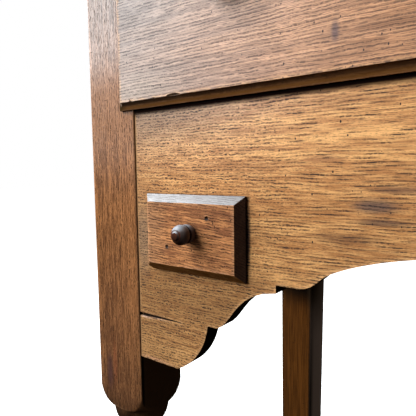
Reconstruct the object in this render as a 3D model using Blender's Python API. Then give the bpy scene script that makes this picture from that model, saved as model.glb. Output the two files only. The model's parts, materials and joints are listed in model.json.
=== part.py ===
"""Oak dresser: a long lipped drawer over a shaped apron that holds two small spice drawers.

The front legs are square posts that turn round below the apron, and the back legs are plain.
Metres, +Z up, the front faces -Y, and the floor is Z = 0 under the middle of the dresser.
"""

import math
from types import SimpleNamespace

import bmesh
import bpy

# Overall frame, measured across the legs
FRAME_WIDTH = 0.766
FRAME_DEPTH = 0.480
HEIGHT = 0.770
FIT = 0.0003
ARRIS = 0.0012

# Top: two boards with a moulded edge
TOP_THICKNESS = 0.022
TOP_OVERHANG_FRONT = 0.022
TOP_OVERHANG_SIDE = 0.024
TOP_OVERHANG_BACK = 0.008
TOP_FRONT_BOARD = 0.290
TOP_ROUND = 0.009
TOP_FILLET = 0.003
TOP_EDGE_STEPS = 5

# Legs
FRONT_LEG = 0.063
FRONT_LEG_DEPTH = 0.060
REAR_LEG = 0.0595
REAR_FOOT = 0.0555
REAR_TAPER_HEIGHT = 0.300
LEG_ARRIS = 0.002
LATHE_SEGMENTS = 28

# Turned lower part of a front leg, from the post down
POST_BELOW_APRON = 0.0375
PUMMEL_HEIGHT = 0.028
BELL_RADIUS = 0.0295
BELL_HEIGHT = 0.024
NECK_RADIUS = 0.0165
NECK_HEIGHT = 0.026
COLLAR_RADIUS = 0.0225
COLLAR_HEIGHT = 0.010
VASE_RADIUS = 0.0265
VASE_BELLY_SHARE = 0.40
ANKLE_RADIUS = 0.0155
ANKLE_HEIGHT = 0.016
ANKLE_RING_RADIUS = 0.021
ANKLE_RING_HEIGHT = 0.008
FOOT_RADIUS = 0.0265
FOOT_HEIGHT = 0.044
FOOT_PAD_RADIUS = 0.017

# Mortise and tenon joints
TENON_LENGTH = 0.025
TENON_THICKNESS = 0.008
TENON_SHOULDER = 0.030
DOVETAIL_LENGTH = 0.020
DOVETAIL_ROOT = 0.022
DOVETAIL_FLARE = 0.004
DOVETAIL_DEPTH = 0.012

# Front frame
APRON_THICKNESS = 0.018
APRON_HEIGHT = 0.246
RAIL_HEIGHT = 0.023
RAIL_DEPTH = 0.055

# Lower edge of the apron, from the leg inward: drop, step, ogee, toe and arch
DROP_WIDTH = 0.048
DROP_CURVE_WIDTH = 0.035
DROP_CURVE_RISE = 0.0475
DROP_CURVE_BULGE = 0.0075
DROP_STEP = 0.009
OGEE_WIDTH = 0.0565
OGEE_RISE = 0.0395
OGEE_LEAVES = (0.016, 0.0045)
OGEE_ARRIVES = (0.0385, 0.0036)
OGEE_STEP = 0.0065
TOE_WIDTH = 0.0175
TOE_CURVE_WIDTH = 0.0205
TOE_CURVE_RISE = 0.0118
TOE_LEAVES = (0.0105, 0.0003)
TOE_ARRIVES = (0.0060, 0.0050)
ARCH_RISE = 0.0254
ARCH_CENTRE_BELOW_TOE = 0.0255
CURVE_STEPS = 9

# Side panels and back boards
SIDE_THICKNESS = 0.020
SIDE_RECESS = 0.005
SIDE_DROP_WIDTH = 0.040
SIDE_CURVE = 0.042
BACK_THICKNESS = 0.012
BACK_LAP = 0.015
BACK_BELOW_SPICE = 0.012
BACK_UPPER_HEIGHT = 0.170

# Long drawer opening and its bearers
OPENING_HEIGHT = 0.159
RUNNER_THICKNESS = 0.020
RUNNER_WIDTH = 0.060
GUIDE_HEIGHT = 0.020
KICKER_WIDTH = 0.032
BLOCK_WIDTH = 0.024
BLOCK_LENGTH = 0.070
BLOCK_PLACE = 0.120

# Drawer fronts: the lip laps the frame, with a hollowed edge on the long one and a bevel on the others
LONG_LIP = 0.008
LONG_LIP_LAP_SIDE = 0.016
LONG_LIP_LAP_END = 0.008
LONG_LIP_EDGE = 0.0028
LONG_COVE = 0.0064
COVE_STEPS = 5
SPICE_LIP = 0.0082
SPICE_LIP_EDGE = 0.0018
SPICE_BEVEL = 0.0068
SPICE_LIP_LAP = 0.006

# Long drawer box
LONG_TONGUE = 0.014
LONG_SIDE = 0.010
LONG_BACK = 0.010
LONG_BOTTOM = 0.0066
LONG_REAR_GAP = 0.006
LONG_TAILS = 4
LONG_GROOVE = 0.005
LONG_GROOVE_RISE = 0.010
LONG_PIN = 0.007
LONG_PLAY = 0.001
LONG_TOP_PLAY = 0.003

# Spice drawers and their bearers
SPICE_WIDTH = 0.107
SPICE_HEIGHT = 0.0693
SPICE_FROM_LEG = 0.0163
SPICE_BELOW_DRAWER = 0.0856
SPICE_TONGUE = 0.010
SPICE_SIDE = 0.006
SPICE_BACK = 0.006
SPICE_BOTTOM = 0.004
SPICE_DEPTH = 0.170
SPICE_TAILS = 2
SPICE_GROOVE = 0.003
SPICE_GROOVE_RISE = 0.0065
SPICE_PIN = 0.004
SPICE_PLAY = 0.0005
SPICE_TOP_PLAY = 0.001
SPICE_RUNNER = 0.010
SPICE_GUIDE_WIDTH = 0.010
SPICE_GUIDE_HEIGHT = 0.020
SPICE_LEDGER_LENGTH = 0.065
SPICE_LEDGER_SIZE = 0.012

# Drawer dovetails
TAIL_SLOPE = 0.17
TAIL_LAP = 0.004

# Knobs: ball radius and place
SPICE_KNOB_RADIUS = 0.0085
SPICE_KNOB_OFFSET = 0.0017
SPICE_KNOB_RISE = 0.0025
LONG_KNOB_RADIUS = 0.0145
LONG_KNOB_FROM_END = 0.116
LONG_KNOB_RISE = 0.006
KNOB_BLIND = 0.004
KNOB_SEGMENTS = 20

# Shape of a knob in ball radii: its radii, then distances from the drawer face
KNOB_SPIGOT = 0.45
KNOB_BASE = 0.78
KNOB_COLLAR = 0.95
KNOB_GROOVE = 0.80
KNOB_TIP = 0.42
KNOB_COLLAR_FOOT = 0.06
KNOB_COLLAR_END = 0.52
KNOB_BALL_CENTRE = 1.14
KNOB_LENGTH = 2.2
KNOB_TIP_EASE = 0.14

# Places worked out from the sizes above
FRAME_TOP = HEIGHT - TOP_THICKNESS
HALF_WIDTH = FRAME_WIDTH / 2
LONG_KNOB_PROUD = LONG_LIP + FIT + KNOB_LENGTH * LONG_KNOB_RADIUS
FRONT = (LONG_KNOB_PROUD - FRAME_DEPTH - TOP_OVERHANG_BACK) / 2
BACK = FRONT + FRAME_DEPTH
LEG_INNER = HALF_WIDTH - FRONT_LEG
REAR_INNER = HALF_WIDTH - REAR_LEG
OPENING_TOP = FRAME_TOP - RAIL_HEIGHT
OPENING_FOOT = OPENING_TOP - OPENING_HEIGHT
APRON_FOOT = OPENING_FOOT - APRON_HEIGHT
APRON_BACK = FRONT + APRON_THICKNESS
BACK_FACE = BACK - BACK_THICKNESS
SIDE_OUTER = HALF_WIDTH - SIDE_RECESS
SIDE_INNER = SIDE_OUTER - SIDE_THICKNESS
CASE_INNER = min(LEG_INNER, REAR_INNER)
LONG_DEPTH = FRAME_DEPTH - REAR_LEG - LONG_REAR_GAP
SPICE_X = LEG_INNER - SPICE_FROM_LEG - SPICE_WIDTH / 2
SPICE_Z = OPENING_FOOT - SPICE_BELOW_DRAWER - SPICE_HEIGHT / 2
SPICE_OPENING_HALF = SPICE_WIDTH / 2 - SPICE_LIP_LAP
SPICE_OPENING_FOOT = SPICE_Z - SPICE_HEIGHT / 2 + SPICE_LIP_LAP
SPICE_OPENING_TOP = SPICE_Z + SPICE_HEIGHT / 2 - SPICE_LIP_LAP
BACK_FOOT = SPICE_OPENING_FOOT - SPICE_RUNNER - BACK_BELOW_SPICE
PUMMEL_TOP = APRON_FOOT - POST_BELOW_APRON
LEFT = -1
RIGHT = 1
SIDES = ((LEFT, "left"), (RIGHT, "right"))


def finish(name, colour, roughness):
    """A plain wood finish."""
    material = bpy.data.materials.new(name)
    material.use_nodes = True
    shader = material.node_tree.nodes["Principled BSDF"]
    shader.inputs["Base Color"].default_value = (*colour, 1)
    shader.inputs["Roughness"].default_value = roughness
    shader.inputs["Metallic"].default_value = 0
    material.diffuse_color = (*colour, 1)
    return material


def box(low, high):
    """Two loops that bound a box."""
    x0, y0, z0 = low
    x1, y1, z1 = high
    return [[(x0, y0, z), (x1, y0, z), (x1, y1, z), (x0, y1, z)] for z in (z0, z1)]


def mirrored_box(side, low, high):
    """A box given on the right-hand side, laid on either side of the dresser."""
    x0, x1 = sorted((side * low[0], side * high[0]))
    return box((x0, *low[1:]), (x1, *high[1:]))


def prism(outline, axis, start, end):
    """An outline in the plane across an axis, run from start to end along it."""
    place = {
        "X": lambda u, v, w: (w, u, v),
        "Y": lambda u, v, w: (u, w, v),
        "Z": lambda u, v, w: (u, v, w),
    }[axis]
    return [[place(u, v, w) for u, v in outline] for w in (start, end)]


def turned(profile, centre, axis, segments):
    """Rings of a turned profile of (radius, distance along the axis) points."""
    angles = [2 * math.pi * i / segments for i in range(segments)]
    cx, cy, cz = centre
    rings = []
    for radius, along in profile:
        if axis == "Z":
            ring = [(cx + radius * math.cos(a), cy + radius * math.sin(a), cz + along) for a in angles]
        else:
            ring = [(cx + radius * math.cos(a), cy - along, cz + radius * math.sin(a)) for a in angles]
        rings.append(ring)
    return rings


def closed_mesh(name, shapes):
    """One mesh of closed shapes, each a stack of loops that is skinned and capped."""
    bm = bmesh.new()
    for loops in shapes:
        rings = [[bm.verts.new(point) for point in loop] for loop in loops]
        faces = [bm.faces.new(rings[0]), bm.faces.new(rings[-1])]
        for lower, upper in zip(rings, rings[1:]):
            for i in range(len(lower)):
                j = (i + 1) % len(lower)
                faces.append(bm.faces.new((lower[i], lower[j], upper[j], upper[i])))
        bmesh.ops.recalc_face_normals(bm, faces=faces)
    mesh = bpy.data.meshes.new(name)
    bm.to_mesh(mesh)
    bm.free()
    return mesh


def add_object(name, mesh, body=None):
    """Link a mesh as an object, on the empty of the body that carries it."""
    obj = bpy.data.objects.new(name, mesh)
    bpy.context.scene.collection.objects.link(obj)
    if body is not None:
        obj.parent = body
        obj.matrix_parent_inverse = body.matrix_world.inverted()
    return obj


def piece(name, loops, material, body, arris=ARRIS):
    """One solid piece with its arrises softened."""
    obj = add_object(name, closed_mesh(name, [loops]), body)
    obj.data.materials.append(material)
    if arris:
        bevel = obj.modifiers.new("soft arrises", "BEVEL")
        bevel.width = arris
        bevel.segments = 1
        bevel.limit_method = "ANGLE"
        bevel.angle_limit = math.radians(50)
    return obj


def combine(obj, operation, shapes):
    """Join, cut or intersect a piece with hidden shapes."""
    name = f"{obj.name} {operation.lower()} {len(obj.modifiers)}"
    tool = add_object(name, closed_mesh(name, shapes), obj.parent)
    tool.hide_render = True
    tool.display_type = "WIRE"
    boolean = obj.modifiers.new(operation.lower(), "BOOLEAN")
    boolean.operation = operation
    boolean.solver = "EXACT"
    boolean.object = tool


def body_empty(name, place):
    """The origin of a body that slides."""
    empty = bpy.data.objects.new(name, None)
    empty.location = place
    bpy.context.scene.collection.objects.link(empty)
    bpy.context.view_layer.update()
    return empty


def grown(low, high, gap):
    """The corners of a box with a gap added all round."""
    return tuple(v - gap for v in low), tuple(v + gap for v in high)


def tenon_spans(foot, top):
    """Heights of the two tenons on the end of a board."""
    height = (top - foot - 3 * TENON_SHOULDER) / 2
    first = foot + TENON_SHOULDER
    second = first + height + TENON_SHOULDER
    return [(first, first + height), (second, second + height)]


def apron_tenons(root):
    """The right-hand tenons of the apron, with their roots inside the board."""
    y0 = FRONT + (APRON_THICKNESS - TENON_THICKNESS) / 2
    return [
        ((LEG_INNER - root, y0, foot), (LEG_INNER + TENON_LENGTH, y0 + TENON_THICKNESS, top))
        for foot, top in tenon_spans(APRON_FOOT, OPENING_FOOT)
    ]


def side_tenons(root):
    """The right-hand side panel's tenons into the front leg, then into the rear leg."""
    return [leg_tenons(FRONT + FRONT_LEG_DEPTH, -1, root), leg_tenons(BACK - REAR_LEG, 1, root)]


def leg_tenons(face, direction, root):
    """A side panel's tenons into the leg that has the given face."""
    x0 = SIDE_INNER + (SIDE_THICKNESS - TENON_THICKNESS) / 2
    y0, y1 = sorted((face - direction * root, face + direction * TENON_LENGTH))
    return [
        ((x0, y0, foot), (x0 + TENON_THICKNESS, y1, top))
        for foot, top in tenon_spans(APRON_FOOT, FRAME_TOP)
    ]


def rail_tail(gap):
    """Plan of the right-hand dovetail of the top rail."""
    middle = FRONT + RAIL_DEPTH / 2
    root = DOVETAIL_ROOT / 2 + gap
    tip = root + DOVETAIL_FLARE
    end = LEG_INNER + DOVETAIL_LENGTH + gap
    start = LEG_INNER - DOVETAIL_LENGTH / 2
    return [
        (start, middle - root), (LEG_INNER, middle - root), (end, middle - tip),
        (end, middle + tip), (LEG_INNER, middle + root), (start, middle + root),
    ]


def quarter(start, end, level, steps):
    """A quarter of an ellipse, which leaves the start level, along the first axis, or else upright."""
    (u0, v0), (u1, v1) = start, end
    points = []
    for i in range(1, steps + 1):
        sine = math.sin(math.pi / 2 * i / steps)
        versine = 1 - math.cos(math.pi / 2 * i / steps)
        along, up = (sine, versine) if level else (versine, sine)
        points.append((u0 + (u1 - u0) * along, v0 + (v1 - v0) * up))
    return points


def arc(start, end, bulge, steps=CURVE_STEPS):
    """A round stretch between two points that swells to the right of the way it runs."""
    (u0, v0), (u1, v1) = start, end
    chord = math.hypot(u1 - u0, v1 - v0)
    radius = (chord * chord / 4 + bulge * bulge) / (2 * bulge)
    along = ((u1 - u0) / chord, (v1 - v0) / chord)
    across = (along[1], -along[0])
    middle_u = (u0 + u1) / 2 - across[0] * (radius - bulge)
    middle_v = (v0 + v1) / 2 - across[1] * (radius - bulge)
    half = math.asin(chord / 2 / radius)
    points = []
    for i in range(1, steps + 1):
        angle = half * (2 * i / steps - 1)
        forward, outward = radius * math.sin(angle), radius * math.cos(angle)
        points.append((middle_u + forward * along[0] + outward * across[0],
                       middle_v + forward * along[1] + outward * across[1]))
    return points


def s_curve(start, end, leaves, arrives, steps=CURVE_STEPS):
    """A cubic curve between two points, from how far it leaves the first and reaches back from the last."""
    points = []
    for i in range(1, steps + 1):
        t = i / steps
        weights = ((1 - t) ** 3, 3 * t * (1 - t) ** 2, 3 * t * t * (1 - t), t ** 3)
        handles = (start, (start[0] + leaves[0], start[1] + leaves[1]),
                   (end[0] - arrives[0], end[1] - arrives[1]), end)
        points.append(tuple(sum(w * h[k] for w, h in zip(weights, handles)) for k in (0, 1)))
    return points


def swell(start, end, steps):
    """A smooth change of radius between two points of a turned profile."""
    (r0, z0), (r1, z1) = start, end
    return [
        (r0 + (r1 - r0) * (1 - math.cos(math.pi * i / steps)) / 2, z0 + (z1 - z0) * i / steps)
        for i in range(1, steps + 1)
    ]


def bead(radius, inner, foot, top, steps=6):
    """A half-round ring on a turned profile, from its foot up."""
    middle, half = (foot + top) / 2, (top - foot) / 2
    points = []
    for i in range(steps + 1):
        angle = math.pi * i / steps - math.pi / 2
        points.append((inner + (radius - inner) * math.cos(angle), middle + half * math.sin(angle)))
    return points


def leg_profile():
    """The turned leg as (radius, height) points, from below the floor up past the top of the post."""
    foot_middle = FOOT_HEIGHT / 2
    profile = [(FOOT_PAD_RADIUS, -FOOT_HEIGHT), (FOOT_PAD_RADIUS, 0)]
    profile += quarter((FOOT_PAD_RADIUS, 0), (FOOT_RADIUS, foot_middle), True, 4)
    profile += quarter((FOOT_RADIUS, foot_middle), (ANKLE_RADIUS, FOOT_HEIGHT), False, 5)
    ring_foot = FOOT_HEIGHT + (ANKLE_HEIGHT - ANKLE_RING_HEIGHT) / 2
    profile += bead(ANKLE_RING_RADIUS, ANKLE_RADIUS, ring_foot, ring_foot + ANKLE_RING_HEIGHT, 5)
    bell_foot = PUMMEL_TOP - PUMMEL_HEIGHT - BELL_HEIGHT
    vase_foot = FOOT_HEIGHT + ANKLE_HEIGHT
    vase_top = bell_foot - NECK_HEIGHT
    belly = vase_foot + VASE_BELLY_SHARE * (vase_top - vase_foot)
    profile.append((ANKLE_RADIUS, vase_foot))
    profile += swell((ANKLE_RADIUS, vase_foot), (VASE_RADIUS, belly), 7)
    profile += swell((VASE_RADIUS, belly), (NECK_RADIUS, vase_top), 9)
    collar_foot = vase_top + (NECK_HEIGHT - COLLAR_HEIGHT) / 2
    profile += bead(COLLAR_RADIUS, NECK_RADIUS, collar_foot, collar_foot + COLLAR_HEIGHT, 6)
    profile.append((NECK_RADIUS, bell_foot))
    pummel_foot = bell_foot + BELL_HEIGHT
    profile += quarter((NECK_RADIUS, bell_foot), (BELL_RADIUS, pummel_foot), True, 6)
    corner = math.hypot(FRONT_LEG, FRONT_LEG_DEPTH) / 2
    profile += quarter((BELL_RADIUS, pummel_foot), (corner, PUMMEL_TOP), True, 7)
    profile += [(FRONT_LEG, PUMMEL_TOP + FRONT_LEG - corner), (FRONT_LEG, HEIGHT)]
    return profile


def front_leg(side, word, material):
    """A square post, turned below the apron, with mortises and the rail's dovetail socket."""
    low = (LEG_INNER, FRONT, 0)
    high = (HALF_WIDTH, FRONT + FRONT_LEG_DEPTH, FRAME_TOP)
    leg = piece(f"front_leg_{word}", mirrored_box(side, low, high), material, None, LEG_ARRIS)
    axis = (side * (HALF_WIDTH - FRONT_LEG / 2), FRONT + FRONT_LEG_DEPTH / 2, 0)
    combine(leg, "INTERSECT", [turned(leg_profile(), axis, "Z", LATHE_SEGMENTS)])
    into_front, _ = side_tenons(0)
    cuts = [mirrored_box(side, *grown(*tenon, FIT)) for tenon in apron_tenons(0) + into_front]
    tail = [(side * x, y) for x, y in rail_tail(FIT)]
    cuts.append(prism(tail, "Z", FRAME_TOP - DOVETAIL_DEPTH - FIT, HEIGHT))
    combine(leg, "DIFFERENCE", cuts)
    return leg


def rear_leg(side, word, material):
    """A plain leg, tapered on its two inner faces, rebated for the back boards."""
    def section(size, height):
        x0, x1 = sorted((side * HALF_WIDTH, side * (HALF_WIDTH - size)))
        y0 = BACK - size
        return [(x0, y0, height), (x1, y0, height), (x1, BACK, height), (x0, BACK, height)]
    loops = [section(REAR_FOOT, 0), section(REAR_LEG, REAR_TAPER_HEIGHT), section(REAR_LEG, FRAME_TOP)]
    leg = piece(f"rear_leg_{word}", loops, material, None, LEG_ARRIS)
    _, into_rear = side_tenons(0)
    cuts = [mirrored_box(side, *grown(*tenon, FIT)) for tenon in into_rear]
    low = (REAR_INNER - BACK_LAP, BACK_FACE - FIT, BACK_FOOT - FIT)
    high = (REAR_INNER + BACK_LAP + FIT, BACK + BACK_THICKNESS, HEIGHT)
    cuts.append(mirrored_box(side, low, high))
    combine(leg, "DIFFERENCE", cuts)
    return leg


def apron_edge():
    """Lower edge of the apron, from its left end in to the crown of the arch."""
    x = FIT - LEG_INNER
    z = APRON_FOOT
    points = [(x, z), (x + DROP_WIDTH, z)]
    x, z = x + DROP_WIDTH + DROP_CURVE_WIDTH, z + DROP_CURVE_RISE
    points += arc(points[-1], (x, z), DROP_CURVE_BULGE)
    x += DROP_STEP
    points.append((x, z))
    x, z = x + OGEE_WIDTH, z + OGEE_RISE
    points += s_curve(points[-1], (x, z), OGEE_LEAVES, OGEE_ARRIVES)
    z += OGEE_STEP
    points += [(x, z), (x + TOE_WIDTH, z)]
    x, z = x + TOE_WIDTH + TOE_CURVE_WIDTH, z + TOE_CURVE_RISE
    points += s_curve(points[-1], (x, z), TOE_LEAVES, TOE_ARRIVES, 5)
    centre = z - ARCH_CENTRE_BELOW_TOE
    rise = ARCH_CENTRE_BELOW_TOE + ARCH_RISE
    start = math.asin(ARCH_CENTRE_BELOW_TOE / rise)
    half = x / math.cos(start)
    for i in range(1, 2 * CURVE_STEPS + 1):
        angle = start + (math.pi / 2 - start) * i / (2 * CURVE_STEPS)
        points.append((half * math.cos(angle), centre + rise * math.sin(angle)))
    return points


def apron(material):
    """The shaped front board with its two spice drawer openings."""
    left = apron_edge()
    right = [(-x, z) for x, z in reversed(left[:-1])]
    end = LEG_INNER - FIT
    outline = left + right + [(end, OPENING_FOOT), (-end, OPENING_FOOT)]
    board = piece("apron", prism(outline, "Y", FRONT, APRON_BACK), material, None, 0)
    tenons = []
    cuts = []
    for side, _ in SIDES:
        tenons += [mirrored_box(side, *tenon) for tenon in apron_tenons(TENON_LENGTH)]
        low = (SPICE_X - SPICE_OPENING_HALF, FRONT - APRON_THICKNESS, SPICE_OPENING_FOOT)
        high = (SPICE_X + SPICE_OPENING_HALF, APRON_BACK + APRON_THICKNESS, SPICE_OPENING_TOP)
        cuts.append(mirrored_box(side, low, high))
    combine(board, "UNION", tenons)
    combine(board, "DIFFERENCE", cuts)
    return board


def side_panel(side, word, material):
    """An end board with a drop at each leg and a raised middle edge."""
    y0 = FRONT + FRONT_LEG_DEPTH + FIT
    y1 = BACK - REAR_LEG - FIT
    z0 = APRON_FOOT
    edge = [(y0, z0), (y0 + SIDE_DROP_WIDTH, z0)]
    edge += quarter(edge[-1], (edge[-1][0] + SIDE_CURVE, z0 + SIDE_CURVE), True, 6)
    edge += [(y0 + y1 - y, z) for y, z in reversed(edge)]
    outline = edge + [(y1, FRAME_TOP), (y0, FRAME_TOP)]
    x0, x1 = sorted((side * SIDE_INNER, side * SIDE_OUTER))
    panel = piece(f"side_panel_{word}", prism(outline, "X", x0, x1), material, None, 0)
    into_front, into_rear = side_tenons(TENON_LENGTH)
    combine(panel, "UNION", [mirrored_box(side, *tenon) for tenon in into_front + into_rear])
    return panel


def back_boards(material):
    """Two boards lapped into the back legs, with a plain joint between them."""
    half = REAR_INNER + BACK_LAP
    joint = FRAME_TOP - BACK_UPPER_HEIGHT
    spans = (("lower", BACK_FOOT, joint - FIT), ("upper", joint, FRAME_TOP))
    for word, foot, top in spans:
        piece(f"back_board_{word}", box((-half, BACK_FACE, foot), (half, BACK, top)), material, None)


def top_rail(material):
    """The rail over the long drawer, dovetailed into both legs from above."""
    end = LEG_INNER - FIT
    low = (-end, FRONT, OPENING_TOP)
    high = (end, FRONT + RAIL_DEPTH, FRAME_TOP)
    rail = piece("top_rail", box(low, high), material, None, 0)
    tails = []
    for side, _ in SIDES:
        plan = [(side * x, y) for x, y in rail_tail(0)]
        tails.append(prism(plan, "Z", FRAME_TOP - DOVETAIL_DEPTH, FRAME_TOP))
    combine(rail, "UNION", tails)
    return rail


def top_edge(y_front, y_back, at_front):
    """Loops of a top board: ends and one long edge rounded over a small fillet."""
    half = HALF_WIDTH + TOP_OVERHANG_SIDE
    under = FRAME_TOP + FIT
    fillet = (TOP_FILLET, HEIGHT - TOP_ROUND)
    steps = [(0, under), (0, fillet[1]), fillet]
    steps += quarter(fillet, (TOP_FILLET + TOP_ROUND, HEIGHT), False, TOP_EDGE_STEPS)
    loops = []
    for inset, z in steps:
        x = half - inset
        y0 = y_front + (inset if at_front else 0)
        y1 = y_back - (0 if at_front else inset)
        loops.append([(-x, y0, z), (x, y0, z), (x, y1, z), (-x, y1, z)])
    return loops


def top_boards(material):
    """The top, in a front and a rear board, moulded on its outer edges."""
    front = FRONT - TOP_OVERHANG_FRONT
    joint = front + TOP_FRONT_BOARD
    back = BACK + TOP_OVERHANG_BACK
    piece("top_front_board", top_edge(front, joint - FIT, True), material, None, 0)
    piece("top_rear_board", top_edge(joint, back, False), material, None, 0)


def bearers(side, word, material):
    """Runner, guide and kicker of the long drawer on one side."""
    y0 = APRON_BACK + FIT
    y1 = BACK_FACE - FIT
    foot = OPENING_FOOT - RUNNER_THICKNESS
    inner = SIDE_INNER - FIT - RUNNER_WIDTH
    notch_front = FRONT + FRONT_LEG_DEPTH + FIT
    notch_back = BACK - REAR_LEG - FIT
    plan = [
        (inner, y0), (LEG_INNER - FIT, y0), (LEG_INNER - FIT, notch_front), (SIDE_INNER - FIT, notch_front),
        (SIDE_INNER - FIT, notch_back), (REAR_INNER - FIT, notch_back), (REAR_INNER - FIT, y1), (inner, y1),
    ]
    plan = [(side * x, y) for x, y in plan]
    piece(f"runner_{word}", prism(plan, "Z", foot, OPENING_FOOT), material, None, 0)
    low = (LEG_INNER + LONG_PLAY / 2, notch_front, OPENING_FOOT + FIT)
    high = (SIDE_INNER - FIT, notch_back, OPENING_FOOT + FIT + GUIDE_HEIGHT)
    piece(f"guide_{word}", mirrored_box(side, low, high), material, None)
    low = (CASE_INNER - FIT - KICKER_WIDTH, FRONT + RAIL_DEPTH + FIT, OPENING_TOP)
    high = (CASE_INNER - FIT, y1, FRAME_TOP)
    piece(f"kicker_{word}", mirrored_box(side, low, high), material, None)


def glue_blocks(material):
    """Blocks in the corners under the top, behind the rail and against the back."""
    rail_face = FRONT + RAIL_DEPTH + FIT
    rows = (rail_face, BACK_FACE - FIT - BLOCK_WIDTH)
    number = 0
    for y in rows:
        for side, _ in SIDES:
            number += 1
            x = side * BLOCK_PLACE
            low = (x - BLOCK_LENGTH / 2, y, OPENING_TOP)
            high = (x + BLOCK_LENGTH / 2, y + BLOCK_WIDTH, FRAME_TOP)
            piece(f"glue_block_{number}", box(low, high), material, None)


def spice_bearers(side, word, material):
    """Runner board of a spice drawer, its two guides and the ledger on the apron."""
    y0 = APRON_BACK + FIT
    y1 = BACK_FACE - FIT
    half = SPICE_OPENING_HALF + SPICE_GUIDE_WIDTH
    top = SPICE_OPENING_FOOT
    foot = top - SPICE_RUNNER
    piece(f"spice_runner_{word}", mirrored_box(side, (SPICE_X - half, y0, foot), (SPICE_X + half, y1, top)),
          material, None)
    guides = (("outer", SPICE_X + SPICE_OPENING_HALF), ("inner", SPICE_X - half))
    for place, x in guides:
        low = (x, y0, top + FIT)
        high = (x + SPICE_GUIDE_WIDTH, y1, top + FIT + SPICE_GUIDE_HEIGHT)
        piece(f"spice_guide_{place}_{word}", mirrored_box(side, low, high), material, None)
    low = (SPICE_X + half - SPICE_LEDGER_LENGTH, y0, foot - FIT - SPICE_LEDGER_SIZE)
    high = (SPICE_X + half, y0 + SPICE_LEDGER_SIZE, foot - FIT)
    piece(f"spice_ledger_{word}", mirrored_box(side, low, high), material, None)


def tail_row(size, foot):
    """Root heights of a drawer's tails, between pins, up to the top of its sides."""
    pitch = (size.top - foot - size.pin) / size.tails
    return [(foot + size.pin + i * pitch, foot + (i + 1) * pitch) for i in range(size.tails)]


def tail_outline(root, tip, foot, top, gap):
    """One tail, wider at its tip, with a gap added all round."""
    flare = TAIL_SLOPE * abs(tip - root)
    direction = 1 if tip > root else -1
    reach = tip + direction * gap
    return [(root, foot - gap), (reach, foot - flare - gap), (reach, top + flare + gap), (root, top + gap)]


def socket_span(size, side):
    """Ends along X of the dovetail sockets for one drawer side, run out past the board's end."""
    inner = size.half - size.side - FIT
    return sorted((size.x + side * inner, size.x + side * (size.half + size.side)))


def long_sizes():
    """The long drawer fills the opening between rail, legs and apron."""
    return SimpleNamespace(
        x=0, half=LEG_INNER - LONG_PLAY, foot=OPENING_FOOT + FIT, top=OPENING_TOP - LONG_TOP_PLAY,
        lip=LONG_LIP, lip_x=LEG_INNER + LONG_LIP_LAP_SIDE,
        lip_foot=OPENING_FOOT - LONG_LIP_LAP_END, lip_top=OPENING_TOP + LONG_LIP_LAP_END,
        edge=[(0, LONG_LIP_EDGE)] + quarter((0, LONG_LIP_EDGE), (LONG_COVE, LONG_LIP), True, COVE_STEPS),
        tongue=LONG_TONGUE, side=LONG_SIDE, back=LONG_BACK, bottom=LONG_BOTTOM,
        depth=LONG_DEPTH, tails=LONG_TAILS, groove=LONG_GROOVE, groove_rise=LONG_GROOVE_RISE,
        knob=LONG_KNOB_RADIUS, play=LONG_PLAY, pin=LONG_PIN,
    )


def spice_sizes(side):
    """A spice drawer fills its opening in the apron."""
    return SimpleNamespace(
        x=side * SPICE_X, half=SPICE_OPENING_HALF - SPICE_PLAY,
        foot=SPICE_OPENING_FOOT + FIT, top=SPICE_OPENING_TOP - SPICE_TOP_PLAY,
        lip=SPICE_LIP, lip_x=SPICE_WIDTH / 2,
        lip_foot=SPICE_Z - SPICE_HEIGHT / 2, lip_top=SPICE_Z + SPICE_HEIGHT / 2,
        edge=[(0, SPICE_LIP_EDGE), (SPICE_BEVEL, SPICE_LIP)],
        tongue=SPICE_TONGUE, side=SPICE_SIDE, back=SPICE_BACK, bottom=SPICE_BOTTOM,
        depth=SPICE_DEPTH, tails=SPICE_TAILS, groove=SPICE_GROOVE, groove_rise=SPICE_GROOVE_RISE,
        knob=SPICE_KNOB_RADIUS, play=SPICE_PLAY, pin=SPICE_PIN,
    )


def drawer_front(name, size, body, material, knobs):
    """Lipped front with a worked edge, dovetail sockets, a groove and knob holes."""
    def rect(x, foot, top, y):
        return [(size.x - x, y, foot), (size.x + x, y, foot), (size.x + x, y, top), (size.x - x, y, top)]
    lip_back = FRONT - FIT
    face = FRONT - size.lip
    tongue_foot = size.foot + size.play / 2
    loops = [
        rect(size.half, tongue_foot, size.top, FRONT + size.tongue),
        rect(size.half, tongue_foot, size.top, lip_back),
        rect(size.lip_x, size.lip_foot, size.lip_top, lip_back),
    ]
    for inset, rise in size.edge:
        loops.append(rect(size.lip_x - inset, size.lip_foot + inset, size.lip_top - inset, FRONT - rise))
    front = piece(f"{name}_front", loops, material, body, 0)
    root = FRONT + size.tongue + FIT
    cuts = []
    for side, _ in SIDES:
        x0, x1 = socket_span(size, side)
        for foot, top in tail_row(size, tongue_foot):
            outline = tail_outline(root, FRONT + TAIL_LAP, foot, top, FIT)
            cuts.append(prism(outline, "X", x0, x1))
    combine(front, "DIFFERENCE", cuts)
    inner = size.half - size.side + size.groove
    groove_foot = size.foot + size.groove_rise
    combine(front, "DIFFERENCE", [box(
        (size.x - inner, root - FIT - size.groove, groove_foot - FIT),
        (size.x + inner, root + size.tongue, groove_foot + size.bottom + FIT))])
    hole = KNOB_SPIGOT * size.knob + FIT
    depth = spigot_length(size) + FIT
    combine(front, "DIFFERENCE", [
        turned([(hole, -depth), (hole, depth)], (x, face, z), "Y", KNOB_SEGMENTS) for x, z in knobs])
    return front


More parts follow.
